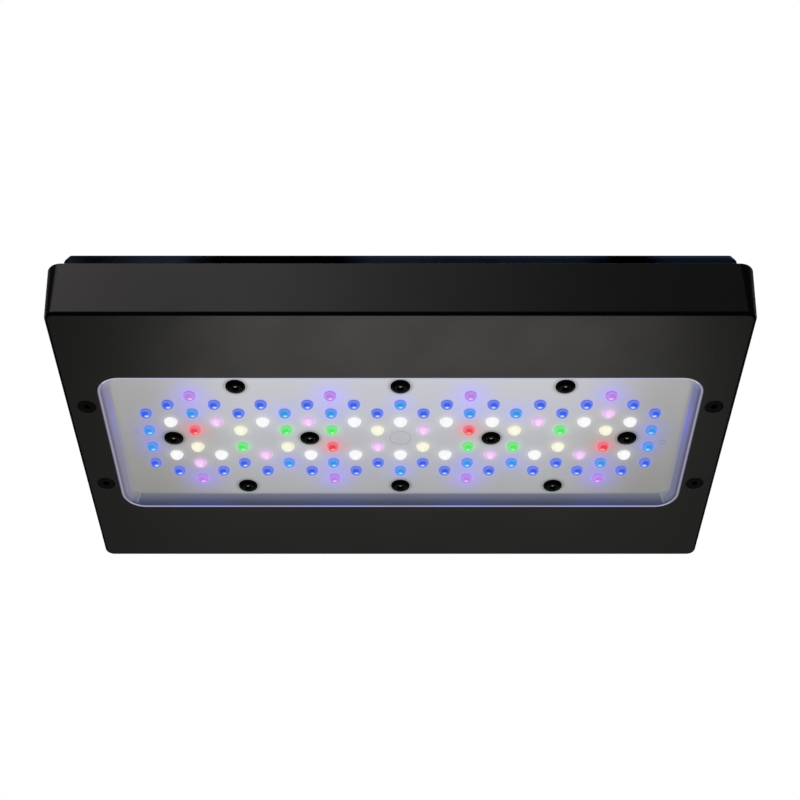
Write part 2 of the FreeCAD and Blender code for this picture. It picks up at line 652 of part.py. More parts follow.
# tray recess, widening towards the room
run = (D["WindowLength"] - 2 * D["LensRimGap"] - 2 * D["LensRimWidth"] - D["LensFloorLength"]) / 2
rise = D["LensFloorBottom"] - D["LensRimBottom"]
dim("TrayAngle", math.degrees(math.atan(run / rise)))
doc.recompute()
sk = sketch(lb, "TrayFloor", S("LensFloorBottom"))
rounded_rect(sk, S("LensFloorLength"), "Dims.LensFloorLength - Dims.WindowLength + Dims.WindowWidth",
             S("LensFloorCorner"))
pocket(lb, "TrayRecess", sk, "Dims.LensFloorBottom + 0.5", taper=S("TrayAngle"))
sk = sketch(lb, "LensStandoffs", "Dims.LensFloorTop - 0.5")
for x, y in LENS_SCREWS:
    circle(sk, 4.2, x, y)
pad(lb, "Standoffs", sk, "Dims.BoardBottom - Dims.LensFloorTop + 0.5")
sk = sketch(lb, "LensGateOutline", "Dims.LensFloorBottom - 0.35")
circle(sk, 5.2, 0, 0)
circle(sk, 4.4, 0, 0)
pad(lb, "LensGateRing", sk, 0.6)
sk = sketch(lb, "LensDotOutline", "Dims.LensFloorBottom - 0.35")
for x, y in ((-120.8, -4.4), (120.7, 3.0)):
    circle(sk, 1.5, x, y)
pad(lb, "LensDots", sk, 0.6)
sk = sketch(lb, "LensScrewHoles", "Dims.BoardBottom + 1")
for x, y in LENS_SCREWS:
    circle(sk, 2.2, x, y)
pocket(lb, "LensHoles", sk, 8.0)
# domes
a, h = D["DomeRadius"], D["DomeHeight"]
sphere_r = (a * a + h * h) / (2 * h)
zc = D["LensFloorBottom"] - h + sphere_r
cap = Part.makeSphere(sphere_r, V3(0, 0, zc)).common(
    Part.makeBox(4 * a, 4 * a, 10, V3(-2 * a, -2 * a, D["LensFloorBottom"] + 0.3 - 10)))
caps = []
for x, y, c in EMITTERS:
    one = cap.copy()
    one.translate(V3(x, y, 0))
    caps.extend(one.Solids)
domes = feature("LensDomes", Part.makeCompound(caps))
lens = fuse("LensPlate", [lb, domes])
node("lens_plate", lens)

g2 = body("LensGasket")
sk = sketch(g2, "SealOutline", S("HousingFloor"))
rounded_rect(sk, "Dims.WindowLength + 2 * Dims.LensFlange - 0.4", "Dims.WindowWidth + 2 * Dims.LensFlange - 0.4",
             "Dims.WindowCorner + Dims.LensFlange - 0.2")
pad(g2, "SealPad", sk, "Dims.LensFlangeBottom - Dims.HousingFloor")
sk = sketch(g2, "SealHole", S("LensFlangeBottom"))
rounded_rect(sk, "Dims.WindowLength + 0.4", "Dims.WindowWidth + 0.4", "Dims.WindowCorner + 0.2")
pocket(g2, "SealOpen", sk, "Dims.LensFlangeBottom - Dims.HousingFloor + 0.1")
node("lens_gasket", g2)

# ----------------------------------------------------------------------------
# emitter board, emitters, thermal pad, heat sink
# ----------------------------------------------------------------------------
bb_ = body("LedBoard")
sk = sketch(bb_, "BoardOutline", S("BoardBottom"))
rounded_rect(sk, S("BoardLength"), S("BoardWidth"), 4.0)
pad(bb_, "BoardPad", sk, S("BoardThick"))
sk = sketch(bb_, "BoardTab", S("BoardBottom"))
rect(sk, 49.0, 40.0, 71.0, 52.5)
pad(bb_, "TabPad", sk, S("BoardThick"))
sk = sketch(bb_, "BoardHoles", "Dims.BoardBottom + Dims.BoardThick")
for x, y in LENS_SCREWS:
    circle(sk, 2.3, x, y)
pocket(bb_, "BoardHolePocket", sk, "Dims.BoardThick + 0.2")
node("led_board", bb_)

tb = body("ThermalPad")
sk = sketch(tb, "PadOutline", "Dims.BoardBottom + Dims.BoardThick")
rounded_rect(sk, "Dims.BoardLength - 2", "Dims.BoardWidth - 2", 3.0)
pad(tb, "PadPad", sk, S("PadThick"))
sk = sketch(tb, "PadHoles", "Dims.BoardBottom + Dims.BoardThick + Dims.PadThick")
for x, y in LENS_SCREWS:
    circle(sk, 3.0, x, y)
pocket(tb, "PadHolePocket", sk, "Dims.PadThick + 0.2")
node("thermal_pad", tb)

# one emitter: ceramic base on the board with its small dome, lit face down
eb = box("EmitterBase", 3.4, 3.4, 0.55, -1.7, -1.7, "Dims.BoardBottom - 0.55")
es = doc.addObject("Part::Sphere", "EmitterDome")
es.Radius = 1.45
es.Angle1 = -90
es.Angle2 = 0
place(es, 0, 0, "Dims.BoardBottom - 0.5")
esq = box("EmitterTrim", 4.0, 4.0, 3.0, -2.0, -2.0, "Dims.BoardBottom - 1.35")
esc = doc.addObject("Part::Common", "EmitterDomeTrimmed")
esc.Base = es
esc.Tool = esq
emitter = fuse("Emitter", [eb, esc])
NAMES = {"B": "leds_royal_blue", "C": "leds_blue", "W": "leds_cool_white", "Y": "leds_warm_white",
         "P": "leds_pink", "R": "leds_red", "G": "leds_green", "V": "leds_violet"}
for code in "BCWYPRGV":
    node(NAMES[code], group("Emitters" + code, emitter, [(x, y, 0) for x, y, c in EMITTERS if c == code]))

sb = body("HeatSink")
sink0 = "Dims.BoardBottom + Dims.BoardThick + Dims.PadThick"
sk = sketch(sb, "SinkOutline", sink0)
rounded_rect(sk, S("SinkLength"), S("SinkWidth"), 3.0)
pad(sb, "SinkPlate", sk, S("SinkBase"))
sk = sketch(sb, "EarOutline", sink0)
for x, y in SINK_EARS:
    if y > 0:
        rect(sk, x - 5.5, 44.0, x + 5.5, 59.5)
    else:
        rect(sk, x - 5.5, -59.5, x + 5.5, -44.0)
pad(sb, "Ears", sk, S("SinkBase"))
sk = sketch(sb, "FinOutline", sink0 + " + Dims.SinkBase - 0.2")
fl = D["SinkLength"] / 2 - 1.0
y0 = -(D["FinCount"] - 1) * D["FinPitch"] / 2
rect(sk, -fl, y0 - D["FinThick"] / 2, fl, y0 + D["FinThick"] / 2)
fin = pad(sb, "Fin", sk, "Dims.FinTop - Dims.BoardBottom - Dims.BoardThick - Dims.PadThick - Dims.SinkBase + 0.2")
pat = sb.newObject("PartDesign::LinearPattern", "Fins")
pat.Originals = [fin]
pat.Direction = (sk, ["V_Axis"])
pat.Length = D["FinPitch"] * (D["FinCount"] - 1)
pat.setExpression("Length", "Dims.FinPitch * (Dims.FinCount - 1)")
pat.Occurrences = int(D["FinCount"])
sb.Tip = pat
doc.recompute()
sk = sketch(sb, "FanSpace", "Dims.FinTop + 1")
rounded_rect(sk, "Dims.FanSize + 6", "Dims.FanSize + 30", 2.0)
pocket(sb, "FanClearance", sk, "Dims.FinTop + 1 - Dims.FinTopUnderFan")
sk = sketch(sb, "SinkThreads", sink0)
for x, y in LENS_SCREWS:
    circle(sk, 2.0, x, y)
pocket(sb, "SinkThreadHoles", sk, 6.6, reverse=True)
sk = sketch(sb, "EarHoles", sink0 + " + Dims.SinkBase")
for x, y in SINK_EARS:
    circle(sk, 1.7, x, y)
pocket(sb, "EarHolePocket", sk, "Dims.SinkBase + 0.2")
node("heat_sink", sb)

# ----------------------------------------------------------------------------
# fasteners
# ----------------------------------------------------------------------------
# flanged button head, hex socket, shank up into the heat sink
lf = "Dims.LensFloorBottom"
s1 = cyl("LensScrewFlange", S("LensScrewHead"), 0.6, 0, 0, lf + " - 0.6")
s2 = cone("LensScrewCrown", 2.5, 3.8, 0.8, 0, 0, lf + " - 1.4")
s3 = cyl("LensScrewStem", S("LensScrewShank"), 12.0, 0, 0, lf + " - 0.1")
s4 = fuse("LensScrewSolid", [s1, s2, s3])
s5 = hexagon("LensScrewSocket", 1.45, 1.4, 0, 0, lf + " - 1.5")
lens_screw = cut("LensScrew", s4, s5)
node("lens_screws", group("LensScrews", lens_screw, [(x, y, 0) for x, y in LENS_SCREWS]))

c1 = cone("HousingScrewHeadCone", S("HousingScrewHead"), S("HousingScrewShank"), 2.0, 0, 0, 0.25)
c0 = cyl("HousingScrewHeadLand", S("HousingScrewHead"), 0.2, 0, 0, 0.05)
c2 = cyl("HousingScrewStem", S("HousingScrewShank"), 12.0, 0, 0, 1.0)
c3 = fuse("HousingScrewSolid", [c0, c1, c2])
c4 = hexagon("HousingScrewSocket", 1.45, 1.6, 0, 0, -0.2)
housing_screw = cut("HousingScrew", c3, c4)
node("housing_screws", group("HousingScrews", housing_screw, [(x, y, 0) for x, y in HOUSING_SCREWS]))


def pan_screw(tag, head_r, head_h, shank_r, length, socket):
    """Pan-head screw, head above z = 0, shank below."""
    a_ = cyl(tag + "Head", head_r, head_h, 0, 0, 0)
    b2 = cyl(tag + "Stem", shank_r, length + 0.2, 0, 0, -length)
    f_ = fuse(tag + "Solid", [a_, b2])
    fl_ = doc.addObject("Part::Fillet", tag + "Rounded")
    fl_.Base = f_
    doc.recompute()
    n = [i + 1 for i, e in enumerate(f_.Shape.Edges)
         if abs(e.BoundBox.ZMin - head_h) < 1e-4 and abs(e.BoundBox.ZMax - head_h) < 1e-4]
    fl_.Edges = [(i, 0.4 * head_h, 0.4 * head_h) for i in n]
    h_ = hexagon(tag + "Socket", socket, head_h * 0.7 + 0.1, 0, 0, head_h * 0.3)
    return cut(tag, fl_, h_)


ps = pan_screw("SinkScrew", 2.8, 2.2, 1.45, 11.0, 1.2)
sink_top = D["BoardBottom"] + D["BoardThick"] + D["PadThick"] + D["SinkBase"]
node("heat_sink_screws", group("SinkScrews", ps, [(x, y, sink_top) for x, y in SINK_EARS]))
ds = pan_screw("DriverScrew", 2.3, 1.7, 1.2, 5.5, 1.0)
node("driver_board_screws", group("DriverScrews", ds, [(x, y, D["DriverBottom"] + 1.6) for x, y in DRIVER_HOLES]))
cs = pan_screw("ControlScrew", 2.3, 1.7, 1.2, 7.0, 1.0)
node("control_board_screws", group("ControlScrews", cs, [(x, y, D["ControlBottom"]) for x, y in CONTROL_HOLES],
                                   upside_down=True))
# fan screws, countersunk in the lid, into the fan frame
f1 = cone("FanScrewHead", 1.6, 2.9, 1.3, 0, 0, "Dims.CoverTop - 1.35")
f2 = cyl("FanScrewStem", 1.6, 13.0, 0, 0, "Dims.CoverTop - 14")
f3 = fuse("FanScrewSolid", [f1, f2])
f4 = hexagon("FanScrewSocket", 1.1, 1.3, 0, 0, "Dims.CoverTop - 1.2")
fan_screw = cut("FanScrew", f3, f4)
node("fan_screws", group("FanScrews", fan_screw, [(x, y, 0) for x, y in FAN_HOLES]))

# threaded inserts for hanging hardware
i1 = cyl("InsertBody", "Dims.InsertOuter - 0.02", "Dims.InsertLength - 0.1", 0, 0,
         "Dims.CoverTop - Dims.InsertLength + 0.05")
i2 = cyl("InsertBoreTool", S("InsertBore"), "Dims.InsertLength + 1", 0, 0, "Dims.CoverTop - Dims.InsertLength - 0.5")
insert = cut("Insert", i1, i2)
node("mount_inserts", group("MountInserts", insert, [(x, y, 0) for x, y in INSERTS]))

# ----------------------------------------------------------------------------
# fan
# ----------------------------------------------------------------------------
fb = S("FanBottom")
q1 = box("FanBlock", S("FanSize"), S("FanSize"), S("FanHeight"), "-Dims.FanSize / 2", "-Dims.FanSize / 2", fb)
q2 = cyl("FanDuctTool", S("FanDuct"), "Dims.FanHeight + 2", 0, 0, "Dims.FanBottom - 1")
q3 = cut("FanShell", q1, q2)
struts = [cyl("MotorPlate", 16.5, 2.0, 0, 0, fb)]
for i in range(4):
    o = box("Strut%d" % i, 24.5, 4.0, 2.0, 0, 0, 0)
    ang = 45 + 90 * i
    rad = math.radians(ang)
    o.Placement = FreeCAD.Placement(
        V3(15 * math.cos(rad) + 2.0 * math.sin(rad), 15 * math.sin(rad) - 2.0 * math.cos(rad), D["FanBottom"]),
        FreeCAD.Rotation(V3(0, 0, 1), ang))
    struts.append(o)
tube = cyl("BearingHousing", 3.4, 9.0, 0, 0, fb)
solid = fuse("FanSolid", [q3] + struts + [tube])
holes = [cyl("FanHole%d" % i, 1.7, "Dims.FanHeight + 2", x, y, "Dims.FanBottom - 1") for i, (x, y) in enumerate(FAN_HOLES)]
holes.append(cyl("BearingSeat", 2.4, 20.0, 0, 0, "Dims.FanBottom + 1.2"))
ht = fuse("FanHoleTools", holes)
node("fan_frame", cut("FanFrame", solid, ht))

b1 = cyl("BearingOuter", 2.38, 7.6, 0, 0, "Dims.FanBottom + 1.25")
b2 = cyl("BearingBoreTool", S("BearingBore"), 12.0, 0, 0, "Dims.FanBottom + 1.0")
node("fan_bearing", cut("FanBearing", b1, b2))

# wound stator on the bearing housing: eight poles
st = [cyl("StatorCore", 7.0, 6.0, 0, 0, "Dims.FanBottom + 2.2")]
for i in range(4):
    o = box("Pole%d" % i, 25.0, 4.6, 5.0, 0, 0, 0)
    rad = math.radians(45 * i)
    o.Placement = FreeCAD.Placement(
        V3(-12.5 * math.cos(rad) + 2.3 * math.sin(rad), -12.5 * math.sin(rad) - 2.3 * math.cos(rad), D["FanBottom"] + 2.7),
        FreeCAD.Rotation(V3(0, 0, 1), 45 * i))
    st.append(o)
sf = fuse("StatorSolid", st)
sh_ = cyl("StatorHole", 3.45, 10.0, 0, 0, "Dims.FanBottom + 2.0")
node("fan_stator", cut("FanStator", sf, sh_))

# rotor: magnet cup, shaft and nine blades
fz = D["FanBottom"]
cup = Part.makeCylinder(D["RotorHub"], 10.9, V3(0, 0, fz + 2.8)).cut(
    Part.makeCylinder(D["RotorHub"] - 2.0, 9.3, V3(0, 0, fz + 2.8)))
shaft = Part.makeCylinder(D["ShaftRadius"], 11.0, V3(0, 0, fz + 2.2))
blades = []


def section(x, chord, angle, thick, zc_):
    ca, sa = math.cos(math.radians(angle)), math.sin(math.radians(angle))
    pts = []
    n = 7
    up, dn = [], []
    for i in range(n):
        u = -0.5 + i / (n - 1.0)
        camber = 0.10 * chord * (1 - 4 * u * u)
        th_ = thick * (1 - 0.75 * abs(2 * u) ** 2) / 2
        for lst, s_ in ((up, 1), (dn, -1)):
            yy, zz = u * chord, camber + s_ * th_
            lst.append(V3(x, yy * ca - zz * sa, zc_ + yy * sa + zz * ca))
    pts = up + dn[::-1]
    return Part.makePolygon(pts + [pts[0]])


for i in range(9):
    w1 = section(14.8, 11.0, 42.0, 1.7, fz + 8.4)
    w2 = section(26.0, 14.5, 34.0, 1.5, fz + 8.3)
    w3 = section(38.5, 17.0, 27.0, 1.3, fz + 8.2)
    bl = Part.makeLoft([w1, w2, w3], True, False)
    bl.rotate(V3(0, 0, 0), V3(0, 0, 1), 40 * i)
    blades.append(bl)
trim = Part.makeCylinder(D["RotorTip"], 11.4, V3(0, 0, fz + 2.8)).cut(
    Part.makeCylinder(D["RotorHub"] - 1.0, 14.0, V3(0, 0, fz + 2)))
blades = [bl.common(trim) for bl in blades]
rot = cup.fuse([shaft] + blades).removeSplitter()
node("fan_rotor", feature("FanRotor", rot))

# finger guard moulded with concentric rings, held between lid and fan
gz = D["CoverTop"]
guard = Part.makeCylinder(D["FanOpeningRadius"] - 0.25, 1.8, V3(0, 0, gz - 2.1)).cut(
    Part.makeCylinder(D["FanOpeningRadius"] - 3.0, 4, V3(0, 0, gz - 3)))
flange = Part.makeCylinder(D["FanOpeningRadius"] + 2.6, 1.2, V3(0, 0, gz - 3.45)).cut(
    Part.makeCylinder(D["FanOpeningRadius"] - 3.0, 4, V3(0, 0, gz - 4)))
bits = [guard]
neck = Part.makeCylinder(D["FanOpeningRadius"] - 0.25, 1.4, V3(0, 0, gz - 3.45)).cut(
    Part.makeCylinder(D["FanOpeningRadius"] - 3.0, 4, V3(0, 0, gz - 4)))
bits += [neck, flange]
for r_ in (31.4, 26.2, 21.0, 15.8):
    bits.append(Part.makeCylinder(r_ + 0.8, 1.6, V3(0, 0, gz - 2.1)).cut(
        Part.makeCylinder(r_ - 0.8, 4, V3(0, 0, gz - 3))))
bits.append(Part.makeCylinder(10.6, 1.6, V3(0, 0, gz - 2.1)))
for i in range(6):
    sp = Part.makeBox(28.5, 2.0, 1.4, V3(9.0, -1.0, gz - 2.1))
    sp.rotate(V3(0, 0, 0), V3(0, 0, 1), 60 * i + 30)
    bits.append(sp)
gshape = bits[0].fuse(bits[1:]).removeSplitter()
# the flange is cut away where the four fan spacers stand
for x, y in FAN_HOLES:
    gshape = gshape.cut(Part.makeCylinder(4.5, 10, V3(x, y, gz - 8)))
node("fan_grille", feature("FanGrille", gshape))

# ----------------------------------------------------------------------------
# driver board and what is on it
# ----------------------------------------------------------------------------
dbd = body("DriverBoard")
sk = sketch(dbd, "DriverOutline", S("DriverBottom"))
sk.AttachmentOffset = FreeCAD.Placement(V3(D["DriverX"], D["DriverY"], D["DriverBottom"]), FreeCAD.Rotation())
sk.setExpression(".AttachmentOffset.Base.x", S("DriverX"))
sk.setExpression(".AttachmentOffset.Base.y", S("DriverY"))
sk.setExpression(".AttachmentOffset.Base.z", S("DriverBottom"))
rounded_rect(sk, S("DriverLength"), S("DriverWidth"), 2.0)
pad(dbd, "DriverPad", sk, 1.6)
sk = sketch(dbd, "DriverHoleSketch", "Dims.DriverBottom + 1.6")
for x, y in DRIVER_HOLES:
    circle(sk, 1.4, x, y)
pocket(dbd, "DriverHolePocket", sk, 2.0)
node("driver_board", dbd)
dz = D["DriverBottom"] + 1.6


def chip(tag, x, y, lx, ly, lz, base=None, c=0.3):
    o = box(tag + "Block", lx, ly, lz, x - lx / 2.0, y - ly / 2.0, dz if base is None else base)
    f_ = doc.addObject("Part::Chamfer", tag)
    f_.Base = o
    doc.recompute()
    top = (dz if base is None else base) + lz
    n = [i + 1 for i, e in enumerate(o.Shape.Edges)
         if abs(e.BoundBox.ZMin - top) < 1e-4 and abs(e.BoundBox.ZMax - top) < 1e-4]
    f_.Edges = [(i, c, c) for i in n]
    return f_


def compound(label, name, objs):
    doc.recompute()
    sol = []
    for o in objs:
        sol.extend(o.Shape.Solids)
    return node(label, feature(name, Part.makeCompound(sol)))


ind = [chip("Inductor%d" % i, -50.0 + 22.0 * i, 70.0, 10.4, 10.4, 6.0, c=0.9) for i in range(7)]
compound("driver_inductors", "DriverInductors", ind)
caps_ = []
for i, x in enumerate((-66.0, -39.0, 27.0, 93.0)):
    y_ = 59.5
    c_ = cyl("Capacitor%d" % i, 4.0, 12.0, x, y_, dz)
    f_ = doc.addObject("Part::Fillet", "CapacitorRound%d" % i)
    f_.Base = c_
    doc.recompute()
    n = [k + 1 for k, e in enumerate(c_.Shape.Edges)
         if abs(e.BoundBox.ZMin - dz - 12.0) < 1e-4 and abs(e.BoundBox.ZMax - dz - 12.0) < 1e-4]
    f_.Edges = [(k, 0.6, 0.6) for k in n]
    caps_.append(f_)
compound("driver_capacitors", "DriverCapacitors", caps_)
chips = [chip("DriverChip%d" % i, -51.0 + 22.0 * i, 60.2, 5.0, 4.2, 1.1) for i in range(5)]
chips.append(chip("BridgeChip", 106.0, 68.0, 9.0, 9.0, 1.4))
compound("driver_chips", "DriverChips", chips)


def header(tag, x, y, z, lx, ly, lz, up=True):
    """Open-topped connector shell."""
    o = box(tag + "Outer", lx, ly, lz, x - lx / 2.0, y - ly / 2.0, z)
    i_ = box(tag + "Inner", lx - 2.0, ly - 2.0, lz - 1.2, x - lx / 2.0 + 1.0, y - ly / 2.0 + 1.0, z + (1.2 if up else -0.01))
    return cut(tag, o, i_)


hs = [header("PowerHeader", -80.0, 70.0, dz, 9.0, 12.0, 8.0),
      header("LedHeaderDriver", 60.0, 58.6, dz, 16.0, 5.4, 6.0),
      header("ControlHeaderDriver", 76.5, 58.6, dz, 13.0, 5.4, 6.0),
      header("FanHeaderDriver", 44.5, 58.6, dz, 8.0, 5.4, 6.0)]
compound("driver_headers", "DriverHeaders", hs)
compound("led_board_header", "LedBoardHeader",
         [header("LedHeaderBoard", 60.0, 49.6, D["BoardBottom"] + D["BoardThick"], 16.0, 5.0, 6.0)])

# ----------------------------------------------------------------------------
# control board under the button panel
# ----------------------------------------------------------------------------
kb = body("ControlBoard")
sk = sketch(kb, "ControlOutline", S("ControlBottom"))
sk.AttachmentOffset = FreeCAD.Placement(V3(0, D["ControlY"], D["ControlBottom"]), FreeCAD.Rotation())
sk.setExpression(".AttachmentOffset.Base.y", S("ControlY"))
sk.setExpression(".AttachmentOffset.Base.z", S("ControlBottom"))
rounded_rect(sk, S("ControlLength"), S("ControlWidth"), 2.0)
pad(kb, "ControlPad", sk, 1.6)
sk = sketch(kb, "ControlHoleSketch", "Dims.ControlBottom + 1.6")
for x, y in CONTROL_HOLES:
    circle(sk, 1.4, x, y)
pocket(kb, "ControlHolePocket", sk, 2.0)
node("control_board", kb)
kz = D["ControlBottom"] + 1.6
sw_ = []
for i, k in enumerate((-1, 0, 1)):
    x = k * D["ButtonPitch"]
    a_ = chip("SwitchBase%d" % i, x, D["PanelY"], 6.2, 6.2, 2.2, base=kz)
    b_ = cyl("SwitchStem%d" % i, 1.75, 1.0, x, D["PanelY"], kz + 2.0)
    sw_.append(fuse("Switch%d" % i, [a_, b_]))
compound("button_switches", "ButtonSwitches", sw_)
compound("controller_chips", "ControllerChips", [
    chip("Processor", -12.0, -74.0, 7.0, 7.0, 1.0, base=kz),
    chip("Memory", 12.0, -74.5, 5.0, 4.0, 1.0, base=kz),
    chip("RadioShield", -32.0, -74.0, 13.0, 10.5, 2.4, base=kz, c=0.4)])
compound("status_led", "StatusLed", [chip("StatusLedChip", 40.0, D["PanelY"], 1.8, 1.4, 0.9, base=kz, c=0.2)])
p1 = cyl("PipeRod", 1.6, "Dims.CoverTop - Dims.PanelDepth + 0.25 - 30.2", 40.0, S("PanelY"), 30.2)
p2 = cyl("PipeCollar", 2.7, 0.9, 40.0, S("PanelY"), 35.7)
node("status_light_pipe", fuse("LightPipe", [p1, p2]))
compound("control_header", "ControlHeader", [header("ControlHeaderBoard", 33.0, -54.0, kz, 13.0, 5.0, 3.2)])

# buttons: domed cap above the panel, collar under the lid, stem over the switch
for i, (k, nm) in enumerate(((-1, "button_left"), (0, "button_centre"), (1, "button_right"))):
    x = k * D["ButtonPitch"]
    a_ = cyl("ButtonCap%d" % i, S("ButtonRadius"), "Dims.ButtonTop - 34.0", x, S("PanelY"), 34.0)
    f_ = doc.addObject("Part::Fillet", "ButtonCapRound%d" % i)
    f_.Base = a_
    doc.recompute()
    n = [k2 + 1 for k2, e in enumerate(a_.Shape.Edges)
         if abs(e.BoundBox.ZMin - D["ButtonTop"]) < 1e-4 and abs(e.BoundBox.ZMax - D["ButtonTop"]) < 1e-4]
    f_.Edges = [(k2, 0.6, 0.6) for k2 in n]
    b_ = cyl("ButtonCollar%d" % i, S("ButtonFlange"), 1.2, x, S("PanelY"), 34.9)
    c_ = cyl("ButtonStem%d" % i, 2.0, "34.5 - Dims.ButtonBottom", x, S("PanelY"), S("ButtonBottom"))
    node(nm, fuse("Button%d" % i, [f_, b_, c_]))

# ----------------------------------------------------------------------------
# power inlet in the back wall
# ----------------------------------------------------------------------------
fy = "Dims.InletFlatY"
n1 = cyl("InletFlangeDisc", S("InletFlange"), 1.5, S("InletX"), fy, S("InletZ"), RY)
n2 = cyl("InletBarrelBody", S("InletBarrel"), 15.0, S("InletX"), "Dims.InletFlatY - 15", S("InletZ"), RY)
n3 = fuse("InletSolid", [n1, n2])
n4 = cyl("InletSocket", S("InletBore"), 20.0, S("InletX"), "Dims.InletFlatY - 10.5", S("InletZ"), RY)
n5 = cut("InletShell", n3, n4)
node("power_inlet", n5)
pins = []
for i in range(4):
    rad = math.radians(45 + 90 * i)
    pins.append(cyl("InletPin%d" % i, 0.6, 5.0, D["InletX"] + 2.9 * math.cos(rad), "Dims.InletFlatY - 10.5",
                    D["InletZ"] + 2.9 * math.sin(rad), RY))
compound("inlet_contacts", "InletContacts", pins)
m1 = hexagon("InletNutBody", 10.9, 3.0, S("InletX"), 81.85, S("InletZ"), RY)
m2 = cyl("InletNutBore", "Dims.InletBarrel + 0.05", 6.0, S("InletX"), 80.0, S("InletZ"), RY)
node("inlet_nut", cut("InletNut", m1, m2))

# ----------------------------------------------------------------------------
# leads held inside the case
# ----------------------------------------------------------------------------
def lead(points, r):
    """Round lead along straight runs joined by tangent arcs."""
    pts = [V3(*p) for p in points]
    edges = []
    cur = pts[0]
    for i in range(1, len(pts) - 1):
        a_, b_, c_ = pts[i - 1], pts[i], pts[i + 1]
        u, w = (a_ - b_), (c_ - b_)
        lu, lw = u.Length, w.Length
        u.normalize()
        w.normalize()
        ang = math.acos(max(-1.0, min(1.0, -(u.dot(w)))))
        t_ = 0.45 * min(lu, lw)
        p_, q_ = b_ + u * t_, b_ + w * t_
        rad = t_ / math.tan(ang / 2)
        bis = u + w
        bis.normalize()
        dist = math.sqrt(rad * rad + t_ * t_)
        mid = b_ + bis * (dist - rad)
        if (p_ - cur).Length > 1e-6:
            edges.append(Part.LineSegment(cur, p_).toShape())
        edges.append(Part.Arc(p_, mid, q_).toShape())
        cur = q_
    edges.append(Part.LineSegment(cur, pts[-1]).toShape())
    w_ = Part.Wire(edges)
    d_ = pts[1] - pts[0]
    prof = Part.Wire([Part.Circle(pts[0], d_, r).toShape()])
    s_ = w_.makePipeShell([prof], True, True)
    if not isinstance(s_, Part.Solid):
        s_ = s_.Solids[0]
    return s_


ix = D["InletX"]
iz = D["InletZ"]
leads = [lead([(ix - 3, 71.6, iz), (ix - 3, 63, iz), (ix + 8, 59.5, iz), (-92.0, 67.5, 13.0), (-84.6, 67.5, 13.0)], 1.1),
         lead([(ix + 3, 71.6, iz), (ix + 3, 66, iz), (ix + 12, 65.5, 13.0), (-92.0, 72.6, 13.0), (-84.6, 72.6, 13.0)], 1.1)]
node("inlet_leads", feature("InletLeads", Part.makeCompound(leads)))
fan_lead = lead([(30.0, 40.05, 23.0), (30.0, 49.0, 23.0), (40.0, 55.0, 21.5), (44.5, 58.6, 17.5), (44.5, 58.6, 10.0)], 1.0)
node("fan_lead", feature("FanLead", fan_lead))


def ribbon(name, label, x0, width, pts, thick):
    """Flat flex folded in the YZ plane: offset polyline extruded along X."""
    up, dn = [], []
    n = len(pts)
    for i, (y, z) in enumerate(pts):
        if i == 0:
            d = (pts[1][0] - y, pts[1][1] - z)
        elif i == n - 1:
            d = (y - pts[i - 1][0], z - pts[i - 1][1])
        else:
            d1 = (y - pts[i - 1][0], z - pts[i - 1][1])
            d2 = (pts[i + 1][0] - y, pts[i + 1][1] - z)
            l1, l2 = math.hypot(*d1), math.hypot(*d2)
            d = (d1[0] / l1 + d2[0] / l2, d1[1] / l1 + d2[1] / l2)
        l_ = math.hypot(*d)
        nx, nz = -d[1] / l_, d[0] / l_
        up.append(V3(x0, y + nx * thick / 2, z + nz * thick / 2))
        dn.append(V3(x0, y - nx * thick / 2, z - nz * thick / 2))
    poly = up + dn[::-1]
    f_ = Part.Face(Part.makePolygon(poly + [poly[0]]))
    return node(label, feature(name, f_.extrude(V3(width, 0, 0))))


def bow(p, q, height, n=9):
    """Smooth arch from p to q in (y, z)."""
    out = []
    for i in range(n + 1):
        t = i / float(n)
        y = p[0] + (q[0] - p[0]) * (1 - math.cos(math.pi * t)) / 2
        z = p[1] + (q[1] - p[1]) * t + height * math.sin(math.pi * t)
        out.append((y, z))
    return out


ribbon("LedRibbon", "led_ribbon", 53.5, 13.0,
       bow((49.6, D["BoardBottom"] + D["BoardThick"] + 1.6), (58.6, dz + 1.6), 12.0), 0.8)
ribbon("ControlRibbon", "control_ribbon", 71.0, 10.6,
       [(-53.9, 30.2), (-53.6, 32.3), (-52.4, 33.8), (-50.0, 34.3), (52.0, 34.3), (55.5, 33.5), (57.6, 31.2),
        (58.4, 28.0), (58.6, dz + 1.6)], 0.8)

# ----------------------------------------------------------------------------
# checks and export
# ----------------------------------------------------------------------------
doc.recompute()
bad = [o.Name for o in doc.Objects if ("Invalid" in o.State or "Error" in o.State)]
if bad:
    raise RuntimeError("failed objects: %s" % bad)
for label, obj in NODES:
    s_ = obj.Shape
    if s_.isNull() or not s_.isValid() or len(s_.Solids) == 0:
        raise RuntimeError("bad shape: %s" % label)
os.makedirs("parts", exist_ok=True)
for f_ in os.listdir("parts"):
    if f_.endswith(".step") and f_[:-5] not in [l for l, o in NODES]:
        os.remove(os.path.join("parts", f_))
for label, obj in NODES:
    obj.Shape.exportStep("parts/%s.step" % label)
    bb = obj.Shape.BoundBox
    print("%-22s solids %3d vol %9.1f  [%.2f %.2f %.2f .. %.2f %.2f %.2f]" % (
        label, len(obj.Shape.Solids), obj.Shape.Volume, bb.XMin, bb.YMin, bb.ZMin, bb.XMax, bb.YMax, bb.ZMax))
print("nodes", len(NODES), "emitters", len(EMITTERS))
